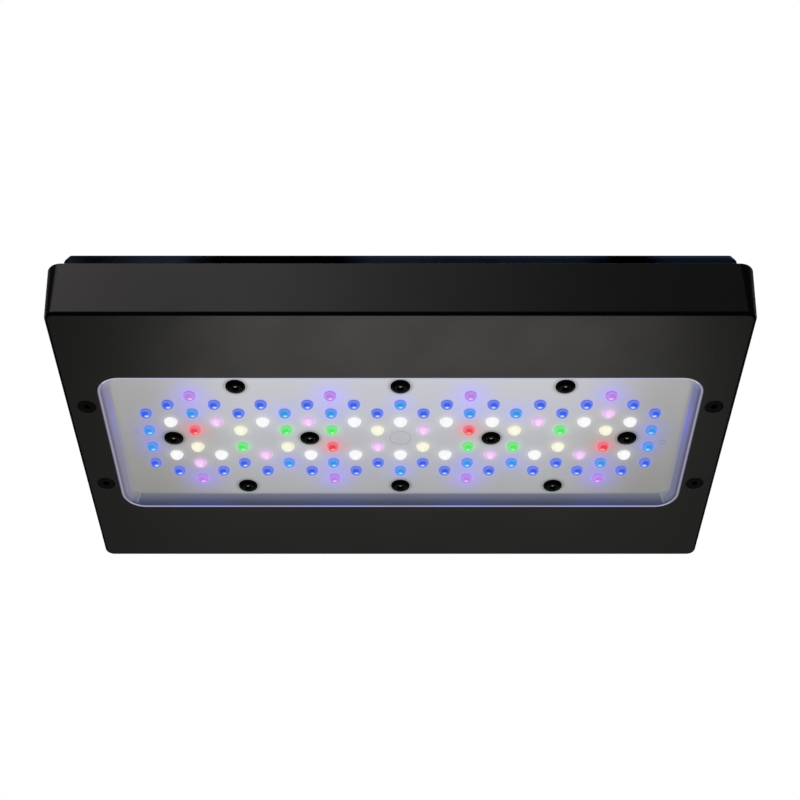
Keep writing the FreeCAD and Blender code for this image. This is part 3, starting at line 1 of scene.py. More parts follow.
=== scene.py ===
import bpy, bmesh, json, math
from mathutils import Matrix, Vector


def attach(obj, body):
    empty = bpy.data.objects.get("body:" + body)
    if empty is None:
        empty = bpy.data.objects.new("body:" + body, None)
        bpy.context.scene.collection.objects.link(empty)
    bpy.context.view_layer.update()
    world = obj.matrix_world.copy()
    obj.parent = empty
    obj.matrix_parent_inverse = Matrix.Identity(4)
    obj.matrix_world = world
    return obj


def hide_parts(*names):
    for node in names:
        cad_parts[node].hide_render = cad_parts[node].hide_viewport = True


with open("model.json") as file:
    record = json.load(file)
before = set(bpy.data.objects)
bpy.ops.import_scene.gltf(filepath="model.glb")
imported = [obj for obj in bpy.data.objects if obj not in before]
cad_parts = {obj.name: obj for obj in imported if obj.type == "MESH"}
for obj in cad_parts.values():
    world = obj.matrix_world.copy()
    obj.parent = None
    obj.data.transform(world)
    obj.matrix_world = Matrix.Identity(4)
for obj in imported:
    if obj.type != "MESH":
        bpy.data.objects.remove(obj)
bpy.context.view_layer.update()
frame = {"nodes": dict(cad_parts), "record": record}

nodes = frame["nodes"]
MM = 0.001

# ------------------------------------------------------------------ camera
cam_data = bpy.data.cameras.new("studio_camera")
cam_data.sensor_width = 36.0
cam_data.lens = 1465.6 * 36.0 / 800.0
cam_data.clip_start = 0.01
cam_data.clip_end = 30
cam = bpy.data.objects.new("studio_camera", cam_data)
bpy.context.scene.collection.objects.link(cam)
cam.location = (-0.00018, -0.52381, -0.41760)
_th = math.radians(40.373)
cam.rotation_euler = Vector((0, math.cos(_th), math.sin(_th))).to_track_quat("-Z", "Y").to_euler()
bpy.context.scene.camera = cam

# ---------------------------------------------------------------- emitters
PX, PY = 20.79, 6.0
ROWS = {
    0: {-4.5: "V", -1.5: "V", 1.5: "V", 4.5: "V"},
    1: dict(zip(range(-5, 6), "BBBBBCBBBBB")),
    2: dict(zip([k - 5.5 for k in range(12)], "BCBCCBBCCBPB")),
    3: dict(zip(range(-5, 6), "WPWPWWWWPWW")),
    4: dict(zip([k - 5.5 for k in range(12)], "CRYGGYPRYGYC")),
    6: dict(zip([k - 5.5 for k in range(12)], "CYGYRPYGGYRC")),
    7: dict(zip(range(-5, 6), "WWPWWWWPWPW")),
    8: dict(zip([k - 5.5 for k in range(12)], "BPBCCBBCCBCB")),
    9: dict(zip(range(-5, 6), "BBBBBCBBBBB")),
    10: {-4.5: "V", -1.5: "V", 1.5: "V", 4.5: "V"},
}
LEDS = [(k * PX, (r - 5) * PY, c) for r in sorted(ROWS) for k, c in sorted(ROWS[r].items())]
LENS_SCREWS = [(-72.7, -36.1), (0, -36.1), (72.7, -36.1), (-5 * PX, 0), (-2 * PX, 0), (2 * PX, 0), (5 * PX, 0),
               (-72.7, 36.1), (0, 36.1), (72.7, 36.1)]


def lin(r, g, b):
    """sRGB 0-255 to linear."""
    return tuple((x / 12.92 if x <= 0.04045 else ((x + 0.055) / 1.055) ** 2.4) for x in (r / 255.0, g / 255.0, b / 255.0))


# --------------------------------------------------------------- materials
def new_mat(name):
    m = bpy.data.materials.new(name)
    m.use_nodes = True
    nt = m.node_tree
    for n in list(nt.nodes):
        nt.nodes.remove(n)
    out = nt.nodes.new("ShaderNodeOutputMaterial")
    p = nt.nodes.new("ShaderNodeBsdfPrincipled")
    nt.links.new(p.outputs[0], out.inputs[0])
    return m, nt, p


def coords(nt, scale=(1, 1, 1)):
    tc = nt.nodes.new("ShaderNodeTexCoord")
    mp = nt.nodes.new("ShaderNodeMapping")
    mp.inputs["Scale"].default_value = scale
    nt.links.new(tc.outputs["Object"], mp.inputs["Vector"])
    return mp.outputs["Vector"]


def noise_tex(nt, vec, scale, detail=3.0, rough=0.55):
    n = nt.nodes.new("ShaderNodeTexNoise")
    n.inputs["Scale"].default_value = scale
    n.inputs["Detail"].default_value = detail
    n.inputs["Roughness"].default_value = rough
    nt.links.new(vec, n.inputs["Vector"])
    return n


def ramp(nt, fac, stops):
    r = nt.nodes.new("ShaderNodeValToRGB")
    while len(r.color_ramp.elements) > 1:
        r.color_ramp.elements.remove(r.color_ramp.elements[-1])
    r.color_ramp.elements[0].position = stops[0][0]
    r.color_ramp.elements[0].color = (*stops[0][1], 1)
    for pos, col in stops[1:]:
        e = r.color_ramp.elements.new(pos)
        e.color = (*col, 1)
    nt.links.new(fac, r.inputs["Fac"])
    return r.outputs["Color"]


def map_range(nt, val, a, b, c, d):
    m = nt.nodes.new("ShaderNodeMapRange")
    m.inputs["From Min"].default_value = a
    m.inputs["From Max"].default_value = b
    m.inputs["To Min"].default_value = c
    m.inputs["To Max"].default_value = d
    nt.links.new(val, m.inputs["Value"])
    return m.outputs["Result"]


def bump(nt, p, height, strength, distance, chain=None):
    b = nt.nodes.new("ShaderNodeBump")
    b.inputs["Strength"].default_value = strength
    b.inputs["Distance"].default_value = distance
    nt.links.new(height, b.inputs["Height"])
    if chain is not None:
        nt.links.new(chain, b.inputs["Normal"])
    nt.links.new(b.outputs["Normal"], p.inputs["Normal"])
    return b.outputs["Normal"]


def moulded(name, col, rough=(0.35, 0.45), var=0.15, big=18.0, fine=1600.0, bump_s=0.12, bump_d=0.00006,
            coat=0.0, coat_rough=0.08, spec=0.5, metal=0.0, emit=None, emit_s=0.0, stretch=(1, 1, 1)):
    """Moulded, painted or coated surface: broad tone drift, roughness drift, fine grain."""
    m, nt, p = new_mat(name)
    v = coords(nt, stretch)
    n1 = noise_tex(nt, v, big, 4.0)
    lo = tuple(c * (1 - var) for c in col)
    hi = tuple(min(1.0, c * (1 + var)) for c in col)
    nt.links.new(ramp(nt, n1.outputs["Fac"], [(0.3, lo), (0.7, hi)]), p.inputs["Base Color"])
    n2 = noise_tex(nt, v, big * 3.1, 5.0)
    nt.links.new(map_range(nt, n2.outputs["Fac"], 0.3, 0.7, rough[0], rough[1]), p.inputs["Roughness"])
    n3 = noise_tex(nt, v, fine, 2.0)
    bump(nt, p, n3.outputs["Fac"], bump_s, bump_d)
    p.inputs["Metallic"].default_value = metal
    p.inputs["Specular IOR Level"].default_value = spec
    if coat:
        p.inputs["Coat Weight"].default_value = coat
        p.inputs["Coat Roughness"].default_value = coat_rough
    if emit:
        p.inputs["Emission Color"].default_value = (*emit, 1)
        p.inputs["Emission Strength"].default_value = emit_s
    return m


def brushed(name, col, rough=(0.22, 0.38), stretch=(1, 60, 60), scale=30.0):
    m, nt, p = new_mat(name)
    v = coords(nt, stretch)
    n1 = noise_tex(nt, v, scale, 5.0, 0.7)
    lo = tuple(c * 0.86 for c in col)
    hi = tuple(min(1, c * 1.1) for c in col)
    nt.links.new(ramp(nt, n1.outputs["Fac"], [(0.3, lo), (0.7, hi)]), p.inputs["Base Color"])
    nt.links.new(map_range(nt, n1.outputs["Fac"], 0.3, 0.7, rough[0], rough[1]), p.inputs["Roughness"])
    bump(nt, p, n1.outputs["Fac"], 0.08, 0.00005)
    p.inputs["Metallic"].default_value = 1.0
    return m


def assign(node, m):
    o = nodes[node]
    o.data.materials.clear()
    o.data.materials.append(m)


M = {}
# satin black housing: fine spark-eroded grain, slight tone drift
M["case_black"] = moulded("case_black", (0.0062, 0.0058, 0.0056), (0.235, 0.285), 0.12, 9.0, 2600.0, 0.06, 0.00003, spec=0.5)


def lacquer(name):
    """Deep navy lacquer; on the narrow edge its colour and gloss run in long soft navy-to-black bands, a painted
    reflection of the studio, while on the flat top it stays even.
    """
    m, nt, p = new_mat(name)
    n1 = noise_tex(nt, coords(nt, (1.0, 0.12, 0.02)), 24.0, 1.0, 0.3)
    sep = nt.nodes.new("ShaderNodeSeparateXYZ")
    nt.links.new(coords(nt), sep.inputs[0])
    flat = map_range(nt, sep.outputs["Z"], 0.0383, 0.0388, 0.0, 1.0)
    top = noise_tex(nt, coords(nt, (1.0, 0.5, 1.0)), 9.0, 3.0, 0.4)
    mixc = nt.nodes.new("ShaderNodeMixRGB")
    nt.links.new(flat, mixc.inputs["Fac"])
    nt.links.new(ramp(nt, n1.outputs["Fac"], [(0.42, (0.0012, 0.0016, 0.0030)), (0.50, (0.008, 0.013, 0.034)),
                                              (0.58, (0.020, 0.042, 0.085))]), mixc.inputs["Color1"])
    nt.links.new(ramp(nt, top.outputs["Fac"], [(0.3, (0.0075, 0.0125, 0.028)), (0.7, (0.0105, 0.0175, 0.038))]), mixc.inputs["Color2"])
    nt.links.new(mixc.outputs["Color"], p.inputs["Base Color"])
    mixs = nt.nodes.new("ShaderNodeMixRGB")
    nt.links.new(flat, mixs.inputs["Fac"])
    nt.links.new(ramp(nt, n1.outputs["Fac"], [(0.43, (0.0, 0.0, 0.0)), (0.57, (0.11, 0.11, 0.11))]), mixs.inputs["Color1"])
    nt.links.new(ramp(nt, top.outputs["Fac"], [(0.3, (0.36, 0.36, 0.36)), (0.7, (0.46, 0.46, 0.46))]), mixs.inputs["Color2"])
    nt.links.new(mixs.outputs["Color"], p.inputs["Specular IOR Level"])
    n2 = noise_tex(nt, coords(nt), 60.0, 3.0)
    nt.links.new(map_range(nt, n2.outputs["Fac"], 0.3, 0.7, 0.25, 0.31), p.inputs["Roughness"])
    n3 = noise_tex(nt, coords(nt), 1400.0, 2.0)
    bump(nt, p, n3.outputs["Fac"], 0.05, 0.00003)
    return m


M["lid_navy"] = lacquer("lid_navy")
M["seal_rubber"] = moulded("seal_rubber", (0.02, 0.02, 0.021), (0.8, 0.95), 0.2, 60.0, 3000.0, 0.5, 0.0002)
M["board_white"] = moulded("board_white", (0.72, 0.73, 0.74), (0.35, 0.5), 0.03, 30.0, 1800.0, 0.06, 0.00003)
M["pad_grey"] = moulded("pad_grey", (0.32, 0.34, 0.37), (0.6, 0.8), 0.08, 50.0, 1500.0, 0.2, 0.0001)
M["sink_aluminium"] = brushed("sink_aluminium", (0.66, 0.67, 0.69), (0.28, 0.42), (1, 40, 40), 22.0)
M["screw_black"] = moulded("screw_black", (0.0016, 0.0016, 0.0018), (0.34, 0.44), 0.25, 220.0, 2400.0, 0.10, 0.00004, metal=0.0, spec=0.10)
M["screw_steel"] = brushed("screw_steel", (0.60, 0.60, 0.62), (0.2, 0.35), (60, 60, 4), 60.0)
M["insert_brass"] = brushed("insert_brass", (0.74, 0.55, 0.25), (0.18, 0.32), (30, 30, 120), 40.0)
M["fan_black"] = moulded("fan_black", (0.014, 0.014, 0.015), (0.38, 0.52), 0.15, 40.0, 2200.0, 0.16, 0.00006)
M["grille_black"] = moulded("grille_black", (0.012, 0.012, 0.013), (0.30, 0.42), 0.15, 40.0, 2200.0, 0.12, 0.00005)
M["bearing_bronze"] = brushed("bearing_bronze", (0.55, 0.38, 0.20), (0.3, 0.5), (20, 20, 20), 120.0)
M["winding_copper"] = brushed("winding_copper", (0.70, 0.30, 0.12), (0.25, 0.4), (10, 10, 260), 40.0)
M["board_green"] = moulded("board_green", (0.012, 0.075, 0.032), (0.28, 0.4), 0.3, 120.0, 900.0, 0.1, 0.00005, spec=0.6)
M["component_black"] = moulded("component_black", (0.018, 0.018, 0.019), (0.5, 0.65), 0.2, 200.0, 2600.0, 0.25, 0.00006)
M["capacitor_can"] = brushed("capacitor_can", (0.70, 0.71, 0.74), (0.2, 0.32), (80, 80, 3), 40.0)
M["header_white"] = moulded("header_white", (0.70, 0.68, 0.62), (0.4, 0.55), 0.06, 80.0, 1600.0, 0.1, 0.00004)
M["button_grey"] = moulded("button_grey", (0.030, 0.032, 0.038), (0.32, 0.42), 0.12, 90.0, 2600.0, 0.16, 0.00005)
M["inlet_black"] = moulded("inlet_black", (0.012, 0.012, 0.013), (0.22, 0.32), 0.12, 70.0, 1800.0, 0.08, 0.00004, spec=0.55)
M["contact_gold"] = brushed("contact_gold", (0.90, 0.68, 0.28), (0.14, 0.24), (20, 20, 20), 200.0)
M["lead_black"] = moulded("lead_black", (0.012, 0.012, 0.012), (0.5, 0.65), 0.2, 150.0, 2000.0, 0.2, 0.00005)
M["ribbon_white"] = moulded("ribbon_white", (0.62, 0.62, 0.60), (0.3, 0.45), 0.08, 60.0, 900.0, 0.08, 0.00004, stretch=(12, 1, 1))
M["led_status"] = moulded("led_status", (0.3, 0.6, 0.4), (0.2, 0.3), 0.05, 100.0, 900.0, 0.02, 0.00002, emit=(0.05, 0.8, 0.35), emit_s=1.5)


def clear_plastic(name, tint, rough):
    m, nt, p = new_mat(name)
    v = coords(nt)
    n = noise_tex(nt, v, 120.0, 3.0)
    nt.links.new(ramp(nt, n.outputs["Fac"], [(0.3, tuple(c * 0.95 for c in tint)), (0.7, tint)]), p.inputs["Base Color"])
    nt.links.new(map_range(nt, n.outputs["Fac"], 0.3, 0.7, rough, rough + 0.05), p.inputs["Roughness"])
    p.inputs["IOR"].default_value = 1.49
    p.inputs["Transmission Weight"].default_value = 0.85
    return m


M["pipe_clear"] = clear_plastic("pipe_clear", (0.86, 0.92, 0.90), 0.06)

LED_COL = {
    "leds_royal_blue": (0.03, 0.10, 1.0), "leds_blue": (0.03, 0.40, 1.0), "leds_cool_white": (1, 1, 1),
    "leds_warm_white": (1, 0.93, 0.66), "leds_pink": (1, 0.55, 0.95), "leds_red": (1, 0.05, 0.06),
    "leds_green": (0.06, 1, 0.12), "leds_violet": (0.35, 0.12, 1.0)}
SLOT_OF = {s["node"]: s["material_slot"] for s in frame["record"]["subparts"]}
for node_name in nodes:
    slot = SLOT_OF.get(node_name, "")
    if node_name in LED_COL:
        c = LED_COL[node_name]
        assign(node_name, moulded(slot, tuple(0.25 + 0.5 * x for x in c), (0.2, 0.3), 0.05, 400.0, 2000.0, 0.03, 0.00002,
                                  emit=c, emit_s=3.0))
    elif slot in M:
        assign(node_name, M[slot])
    else:
        assign(node_name, M["component_black"])


# ---------------------------------------------------- helper: mesh objects
def mesh_object(name, verts, faces, mats, body="case", smooth=True, mat_index=None):
    me = bpy.data.meshes.new(name)
    me.from_pydata(verts, [], faces)
    me.update()
    for m_ in mats:
        me.materials.append(m_)
    if mat_index:
        me.polygons.foreach_set("material_index", mat_index)
    if smooth:
        me.polygons.foreach_set("use_smooth", [True] * len(me.polygons))
    ob = bpy.data.objects.new(name, me)
    bpy.context.scene.collection.objects.link(ob)
    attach(ob, body)
    return ob


def smoothstep(a, b, x):
    if a == b:
        return 0.0 if x < a else 1.0
    t = max(0.0, min(1.0, (x - a) / (b - a)))
    return t * t * (3 - 2 * t)


def mix3(a, b, t):
    return tuple(a[i] + (b[i] - a[i]) * t for i in range(3))


# -------------------------------------------------------------- lens tray
N_LONG, N_SHORT, N_CORNER = 250, 84, 12


def rr_loop(hx, hy, r, z):
    """Rounded rectangle, always the same number of points in the same order."""
    r = max(0.0, min(r, hx, hy))
    pts = []
    for (cx, cy, a0), n_side, d in (
            ((hx - r, -hy + r, -90), N_LONG, (1, 0)), ((hx - r, hy - r, 0), N_SHORT, (0, 1)),
            ((-hx + r, hy - r, 90), N_LONG, (-1, 0)), ((-hx + r, -hy + r, 180), N_SHORT, (0, -1))):
        # the straight side before this corner
        length = 2 * (hx - r) if d[0] else 2 * (hy - r)
        a = math.radians(a0)
        ex, ey = cx + r * math.cos(a), cy + r * math.sin(a)
        for i in range(n_side):
            t = 1 - i / n_side
            pts.append((ex - d[0] * length * t, ey - d[1] * length * t, z))
        for i in range(N_CORNER):
            b_ = math.radians(a0 + 90.0 * i / N_CORNER)
            pts.append((cx + r * math.cos(b_), cy + r * math.sin(b_), z))
    return pts


Z_FLOOR = 5.0
loops = []
kinds = []          # what each loop belongs to


def add_loop(hx, hy, r, z, kind):
    loops.append(rr_loop(hx, hy, r, z))
    kinds.append(kind)


# back of the plate, from the middle outwards
for d in (45.6, 36.0, 22.0, 8.0):
    add_loop(130.0 - d, 45.7 - d if d < 45.3 else 0.0, max(0.0, 8.0 - d), 7.5, "back")
add_loop(128.9, 44.4, 7.0, 7.5, "back")
add_loop(131.2, 46.4, 8.8, 5.4, "back")
add_loop(134.6, 49.3, 12.4, 5.4, "back")
add_loop(134.6, 49.3, 12.4, 3.65, "back")
add_loop(132.45, 47.2, 10.35, 3.65, "back")
add_loop(132.45, 47.2, 10.35, 0.55, "rim")
add_loop(132.36, 47.11, 10.3, 0.33, "rim")
add_loop(132.12, 46.87, 10.1, 0.26, "rim")
add_loop(131.80, 46.55, 9.8, 0.26, "rim")
add_loop(131.55, 46.30, 9.55, 0.36, "rim")
SK = 14
for i in range(SK + 1):
    t = i / SK
    add_loop(131.42 - 3.32 * t, 46.17 - 3.32 * t, 9.4 - 3.3 * t, 0.5 + 4.15 * t, "skirt")
add_loop(127.95, 42.70, 6.0, 4.86, "edge")
add_loop(127.7, 42.45, 5.8, 4.97, "edge")
add_loop(127.3, 42.05, 5.6, Z_FLOOR, "floor")
d = 1.0
while d < 42.05 - 0.4:
    add_loop(127.3 - d, 42.05 - d, max(0.0, 5.6 - d), Z_FLOOR, "floor")
    d += 1.0
add_loop(127.3 - 42.05, 0.0, 0.0, Z_FLOOR, "floor")
N = len(loops[0])
verts = [tuple(c * MM for c in p) for lp in loops for p in lp]
faces = []
for i in range(len(loops) - 1):
    for j in range(N):
        k = (j + 1) % N
        faces.append((i * N + j, i * N + k, (i + 1) * N + k, (i + 1) * N + j))
vert_kind = [k for k in kinds for _ in range(N)]

HALO = {  # light each emitter spills on the plate: colour, strength, spread in mm, how much it hides the plate's grey
    "V": ((0.12, 0.04, 1.05), 0.78, 8.2, 0.16),
    "C": ((0.06, 0.06, 1.00), 0.60, 6.8, 0.16),
    "B": ((0.08, 0.10, 0.85), 0.32, 4.3, 0.16),
    "R": ((1.00, 0.20, 0.22), 1.10, 5.3, 0.55),
    "G": ((0.45, 0.95, 0.48), 0.50, 4.3, 0.35),
    "Y": ((0.80, 0.80, 0.62), 0.40, 4.4, 0.30),
    "P": ((0.78, 0.55, 0.85), 0.40, 4.5, 0.30),
    "W": ((0.80, 0.80, 0.85), 0.36, 4.4, 0.30),
}


def plate_light(x, y):
    """Even light in the tray: brightest along the near long side, weaker at both ends."""
    v = 0.528 - 0.00228 * y
    f = 1.0 - 0.32 * smoothstep(66.0, 122.0, abs(x))
    v *= f
    e = smoothstep(55.0, 110.0, abs(x))
    b_ = smoothstep(-45.0, 30.0, y)
    return (v * (0.975 + 0.030 * e + 0.005 * b_), v * (0.995 + 0.010 * e), v * (1.075 - 0.070 * e - 0.030 * b_))


def tray_tone(x, y):
    base = plate_light(x, y)
    for lx, ly, c in LEDS:
        dx, dy = x - lx, y - ly
        if abs(dx) > 20 or abs(dy) > 20:
            continue
        col, k, s, hide = HALO[c]
        r = math.hypot(dx, dy)
        w_ = k * math.exp(-(r / s) ** 2)
        if w_ < 0.003:
            continue
        h = min(1.0, w_ * hide)
        base = tuple(base[i] * (1 - h) + col[i] * w_ * 0.62 for i in range(3))
    # painted shade: a soft dark ring on the plate round each screw head
    for sx, sy in LENS_SCREWS:
        r = math.hypot(x - sx, y - sy)
        if r < 9.0:
            base = tuple(c * (1 - 0.30 * math.exp(-((r - 4.6) / 1.1) ** 2)) for c in base)
    # soft shade along the foot of the skirts
    e = min(127.7 - abs(x), 42.45 - abs(y))
    k = 1 - 0.10 * math.exp(-(max(0.0, e) / 1.2) ** 2)
    return tuple(c * k for c in base)


def skirt_tone(x, y, z):
    """Clear slope of the tray: dark line inside the rim, grey body, light guided in from the blue emitters."""
    t = smoothstep(0.0, 1.0, (z - 0.5) / 4.4)
    side = smoothstep(0.0, 2.5, (abs(x) - 127.0) - (abs(y) - 41.8) + 0.6)      # 1 on the short ends
    left = x < 0
    line = math.exp(-((z - 0.95) / 0.62) ** 2)
    # long sides
    lf = mix3(lin(62, 69, 98), lin(112, 118, 134), t ** 1.25)
    lf = mix3(lf, lin(64, 70, 96), 0.6 * line)
    g = sum(math.exp(-((x - lx) / 13.0) ** 2) for lx, ly, c in LEDS if c == "V" and ly * y > 0)
    lf = tuple(lf[i] + (0.0, 0.002, 0.060)[i] * g * (0.35 + 0.65 * math.exp(-((z - 1.1) / 1.1) ** 2)) for i in range(3))
    # short ends
    body = lin(138, 136, 152) if left else lin(118, 120, 146)
    sd = mix3(body, lin(150, 149, 160), smoothstep(0.72, 1.0, t))
    sd = mix3(sd, lin(102, 98, 122) if left else lin(78, 79, 108), 0.85 * line)
    ribs = 0.5 + 0.5 * math.sin(z * 5.2 + 0.5 * math.sin(y * 0.11))
    sd = tuple(c * (0.955 + 0.045 * ribs) for c in sd)
    # painted light: violet glow from the emitters on the short ends
    gy = math.exp(-((y + (16.0 if left else 14.0)) / 18.0) ** 2)
    gz = math.exp(-((z - 3.1) / 1.15) ** 2)
    add = (0.020, 0.006, 0.20) if left else (0.016, 0.012, 0.30)
    sd = tuple(sd[i] + add[i] * gy * gz for i in range(3))
    base = mix3(lf, sd, side)
    # painted highlight: bright streaks where the far corners turn
    if y > 0:
        ang = math.atan2(y - 36.6, abs(x) - 121.8)
        k = (math.exp(-((ang - 0.84) / 0.055) ** 2) + 0.5 * math.exp(-((ang - 1.02) / 0.04) ** 2)) * smoothstep(0.6, 1.6, z) * (1 if abs(x) > 121.8 and y > 36.6 else 0)
        base = mix3(base, lin(200, 200, 206), min(1.0, 0.62 * k))
    return base


def rim_tone(x, y):
    # painted highlight along the rim bead, brighter on the near side, plus painted violet glow from the nearest violet
    # emitters
    side = smoothstep(0.0, 2.5, (abs(x) - 130.0) - (abs(y) - 44.8))
    far = mix3(lin(178, 177, 210), lin(156, 152, 178), side)
    if y < 0 and side < 0.5:
        far = lin(196, 197, 212)
    g = sum(math.exp(-((x - lx) / 19.0) ** 2) for lx, ly, c in LEDS if c == "V" and ly * y > 0) * (1 - side)
    return tuple(far[i] + (0.01, 0.0, 0.16)[i] * g for i in range(3))


tones = []
for (x, y, z), kd in zip([(v[0] / MM, v[1] / MM, v[2] / MM) for v in verts], vert_kind):
    if kd == "back":
        tones.append((0.30, 0.31, 0.33))
    elif kd == "rim":
        tones.append(rim_tone(x, y))
    elif kd == "skirt":
        tones.append(skirt_tone(x, y, z))
    elif kd == "edge":
        tones.append(mix3(skirt_tone(x, y, z), tray_tone(x, y), 0.5))
    else:
        tones.append(tray_tone(x, y))


def colour_attr(me, name, cols):
    a = me.color_attributes.new(name=name, type="FLOAT_COLOR", domain="POINT")
    flat = []
    for c in cols:
        flat.extend((c[0], c[1], c[2], 1.0))
    a.data.foreach_set("color", flat)


def lens_material(name, rough, glow=0.86, spec=0.5, coat=0.0, coat_rough=0.06, bump_s=0.05, body=0.22):
    """Clear acrylic over a lit white board: the light coming through the plate is painted in as emission from the tone
    attribute, and the gloss sits on it.
    """
    m, nt, p = new_mat(name)
    a = nt.nodes.new("ShaderNodeAttribute")
    a.attribute_name = "tone"
    v = coords(nt)
    n = noise_tex(nt, v, 55.0, 4.0)
    mixn = nt.nodes.new("ShaderNodeMixRGB")
    mixn.blend_type = "MULTIPLY"
    mixn.inputs["Fac"].default_value = 1.0
    nt.links.new(a.outputs["Color"], mixn.inputs["Color1"])
    nt.links.new(ramp(nt, n.outputs["Fac"], [(0.3, (0.965, 0.965, 0.97)), (0.7, (1, 1, 1))]), mixn.inputs["Color2"])
    nt.links.new(mixn.outputs["Color"], p.inputs["Emission Color"])
    p.inputs["Emission Strength"].default_value = glow
    nt.links.new(ramp(nt, n.outputs["Fac"], [(0.3, (body * 0.95,) * 3), (0.7, (body, body, body * 1.03))]), p.inputs["Base Color"])
    nt.links.new(map_range(nt, n.outputs["Fac"], 0.3, 0.7, rough, rough + 0.06), p.inputs["Roughness"])
    n2 = noise_tex(nt, v, 260.0, 2.0)
    bump(nt, p, n2.outputs["Fac"], bump_s, 0.00004)
    p.inputs["IOR"].default_value = 1.49
    p.inputs["Specular IOR Level"].default_value = spec
    p.inputs["Coat Weight"].default_value = coat
    p.inputs["Coat Roughness"].default_value = coat_rough
    return m


tray = mesh_object("lens_tray", verts, faces, [lens_material("lens_acrylic", 0.22)])
colour_attr(tray.data, "tone", tones)
bm = bmesh.new()
bm.from_mesh(tray.data)
bmesh.ops.remove_doubles(bm, verts=bm.verts, dist=0.000004)
bmesh.ops.recalc_face_normals(bm, faces=bm.faces)
bm.to_mesh(tray.data)
bm.free()
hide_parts("lens_plate")

# ------------------------------------------------------------------ domes
DOME_R, DOME_H = 3.0, 2.8
SPH = (DOME_R ** 2 + DOME_H ** 2) / (2 * DOME_H)
SEG, RNG = 32, 14
LOOK = {  # core, shoulder, ring, glint, linear light
    "B": (lin(62, 96, 230), lin(112, 138, 238), lin(72, 86, 212), lin(220, 234, 255)),
    "C": (lin(52, 154, 230), lin(106, 160, 244), lin(84, 108, 228), lin(178, 240, 255)),
    "W": (lin(255, 255, 255), lin(255, 255, 255), lin(235, 235, 238), lin(255, 255, 255)),
    "Y": (lin(255, 255, 236), lin(254, 252, 226), lin(232, 226, 200), lin(255, 255, 250)),
    "P": (lin(252, 214, 252), lin(240, 196, 244), lin(206, 168, 222), lin(255, 242, 255)),
    "R": (lin(236, 70, 82), lin(250, 120, 128), lin(226, 92, 106), lin(255, 205, 180)),
    "G": (lin(90, 236, 104), lin(130, 240, 142), lin(96, 205, 118), lin(215, 255, 215)),
    "V": (lin(186, 130, 230), lin(196, 150, 242), lin(152, 104, 214), lin(252, 214, 255)),
}
GLINT = {"B": 1.0, "C": 1.0, "W": 0.2, "Y": 0.5, "P": 0.8, "R": 0.7, "G": 0.7, "V": 0.9}
NAMES = {"B": "royal_blue", "C": "blue", "W": "cool_white", "Y": "warm_white", "P": "pink", "R": "red", "G": "green", "V": "violet"}


def dome_tone(code, nx, ny, side):
    """nx, ny: where the point sits on the unit dome; side shifts the glint towards the middle of the lamp. The glint is
    a painted highlight, the darker ring on the upper side is painted shade and the pale edge is a painted glow, all
    laid out as seen from the studio camera.
    """
    core, shoulder, ring, glint = LOOK[code]
    h = math.sqrt(max(0.0, 1 - nx * nx - ny * ny))
    u, v = nx, (0.645 * ny + 0.764 * h - 0.18) / 0.82
    r = math.hypot(u, v)
    dc = math.hypot((u + side * 0.08) / (1.0 - 0.25 * v), (v - 0.12) / 0.95)
    col = mix3(core, shoulder, smoothstep(0.44, 0.66, dc))
    # painted shade: darker ring, strongest on the upper side
    up = smoothstep(-0.15, -0.75, v)
    col = mix3(col, ring, smoothstep(0.62, 0.86, r) * (0.45 + 0.55 * up))
    # painted highlight: the glint crescent low on the dome
    gd = math.hypot((u - 0.03 - 0.17 * side) / 0.36, (v - 0.50) / 0.18)
    col = mix3(col, glint, (1 - smoothstep(0.30, 1.25, gd)) * GLINT[code])
    # painted pale glow at the very edge, where the dome turns away
    col = mix3(col, mix3(shoulder, (0.62, 0.62, 0.82), 0.45), smoothstep(0.88, 1.0, r) * 0.55 * (0 if code in "WY" else 1))
    return col


def dome_material(name):
    m, nt, p = new_mat(name)
    a = nt.nodes.new("ShaderNodeAttribute")
    a.attribute_name = "tone"
    v = coords(nt)
    n = noise_tex(nt, v, 500.0, 2.0)
    mixn = nt.nodes.new("ShaderNodeMixRGB")
    mixn.blend_type = "MULTIPLY"
    mixn.inputs["Fac"].default_value = 1.0
    nt.links.new(a.outputs["Color"], mixn.inputs["Color1"])
    nt.links.new(ramp(nt, n.outputs["Fac"], [(0.3, (0.94, 0.94, 0.94)), (0.7, (1, 1, 1))]), mixn.inputs["Color2"])
    nt.links.new(mixn.outputs["Color"], p.inputs["Emission Color"])
    p.inputs["Emission Strength"].default_value = 1.0
    nt.links.new(ramp(nt, n.outputs["Fac"], [(0.3, (0.05, 0.05, 0.055)), (0.7, (0.07, 0.07, 0.075))]), p.inputs["Base Color"])
    nt.links.new(map_range(nt, n.outputs["Fac"], 0.3, 0.7, 0.06, 0.10), p.inputs["Roughness"])
    p.inputs["IOR"].default_value = 1.49
    p.inputs["Coat Weight"].default_value = 0.5
    p.inputs["Coat Roughness"].default_value = 0.03
    return m


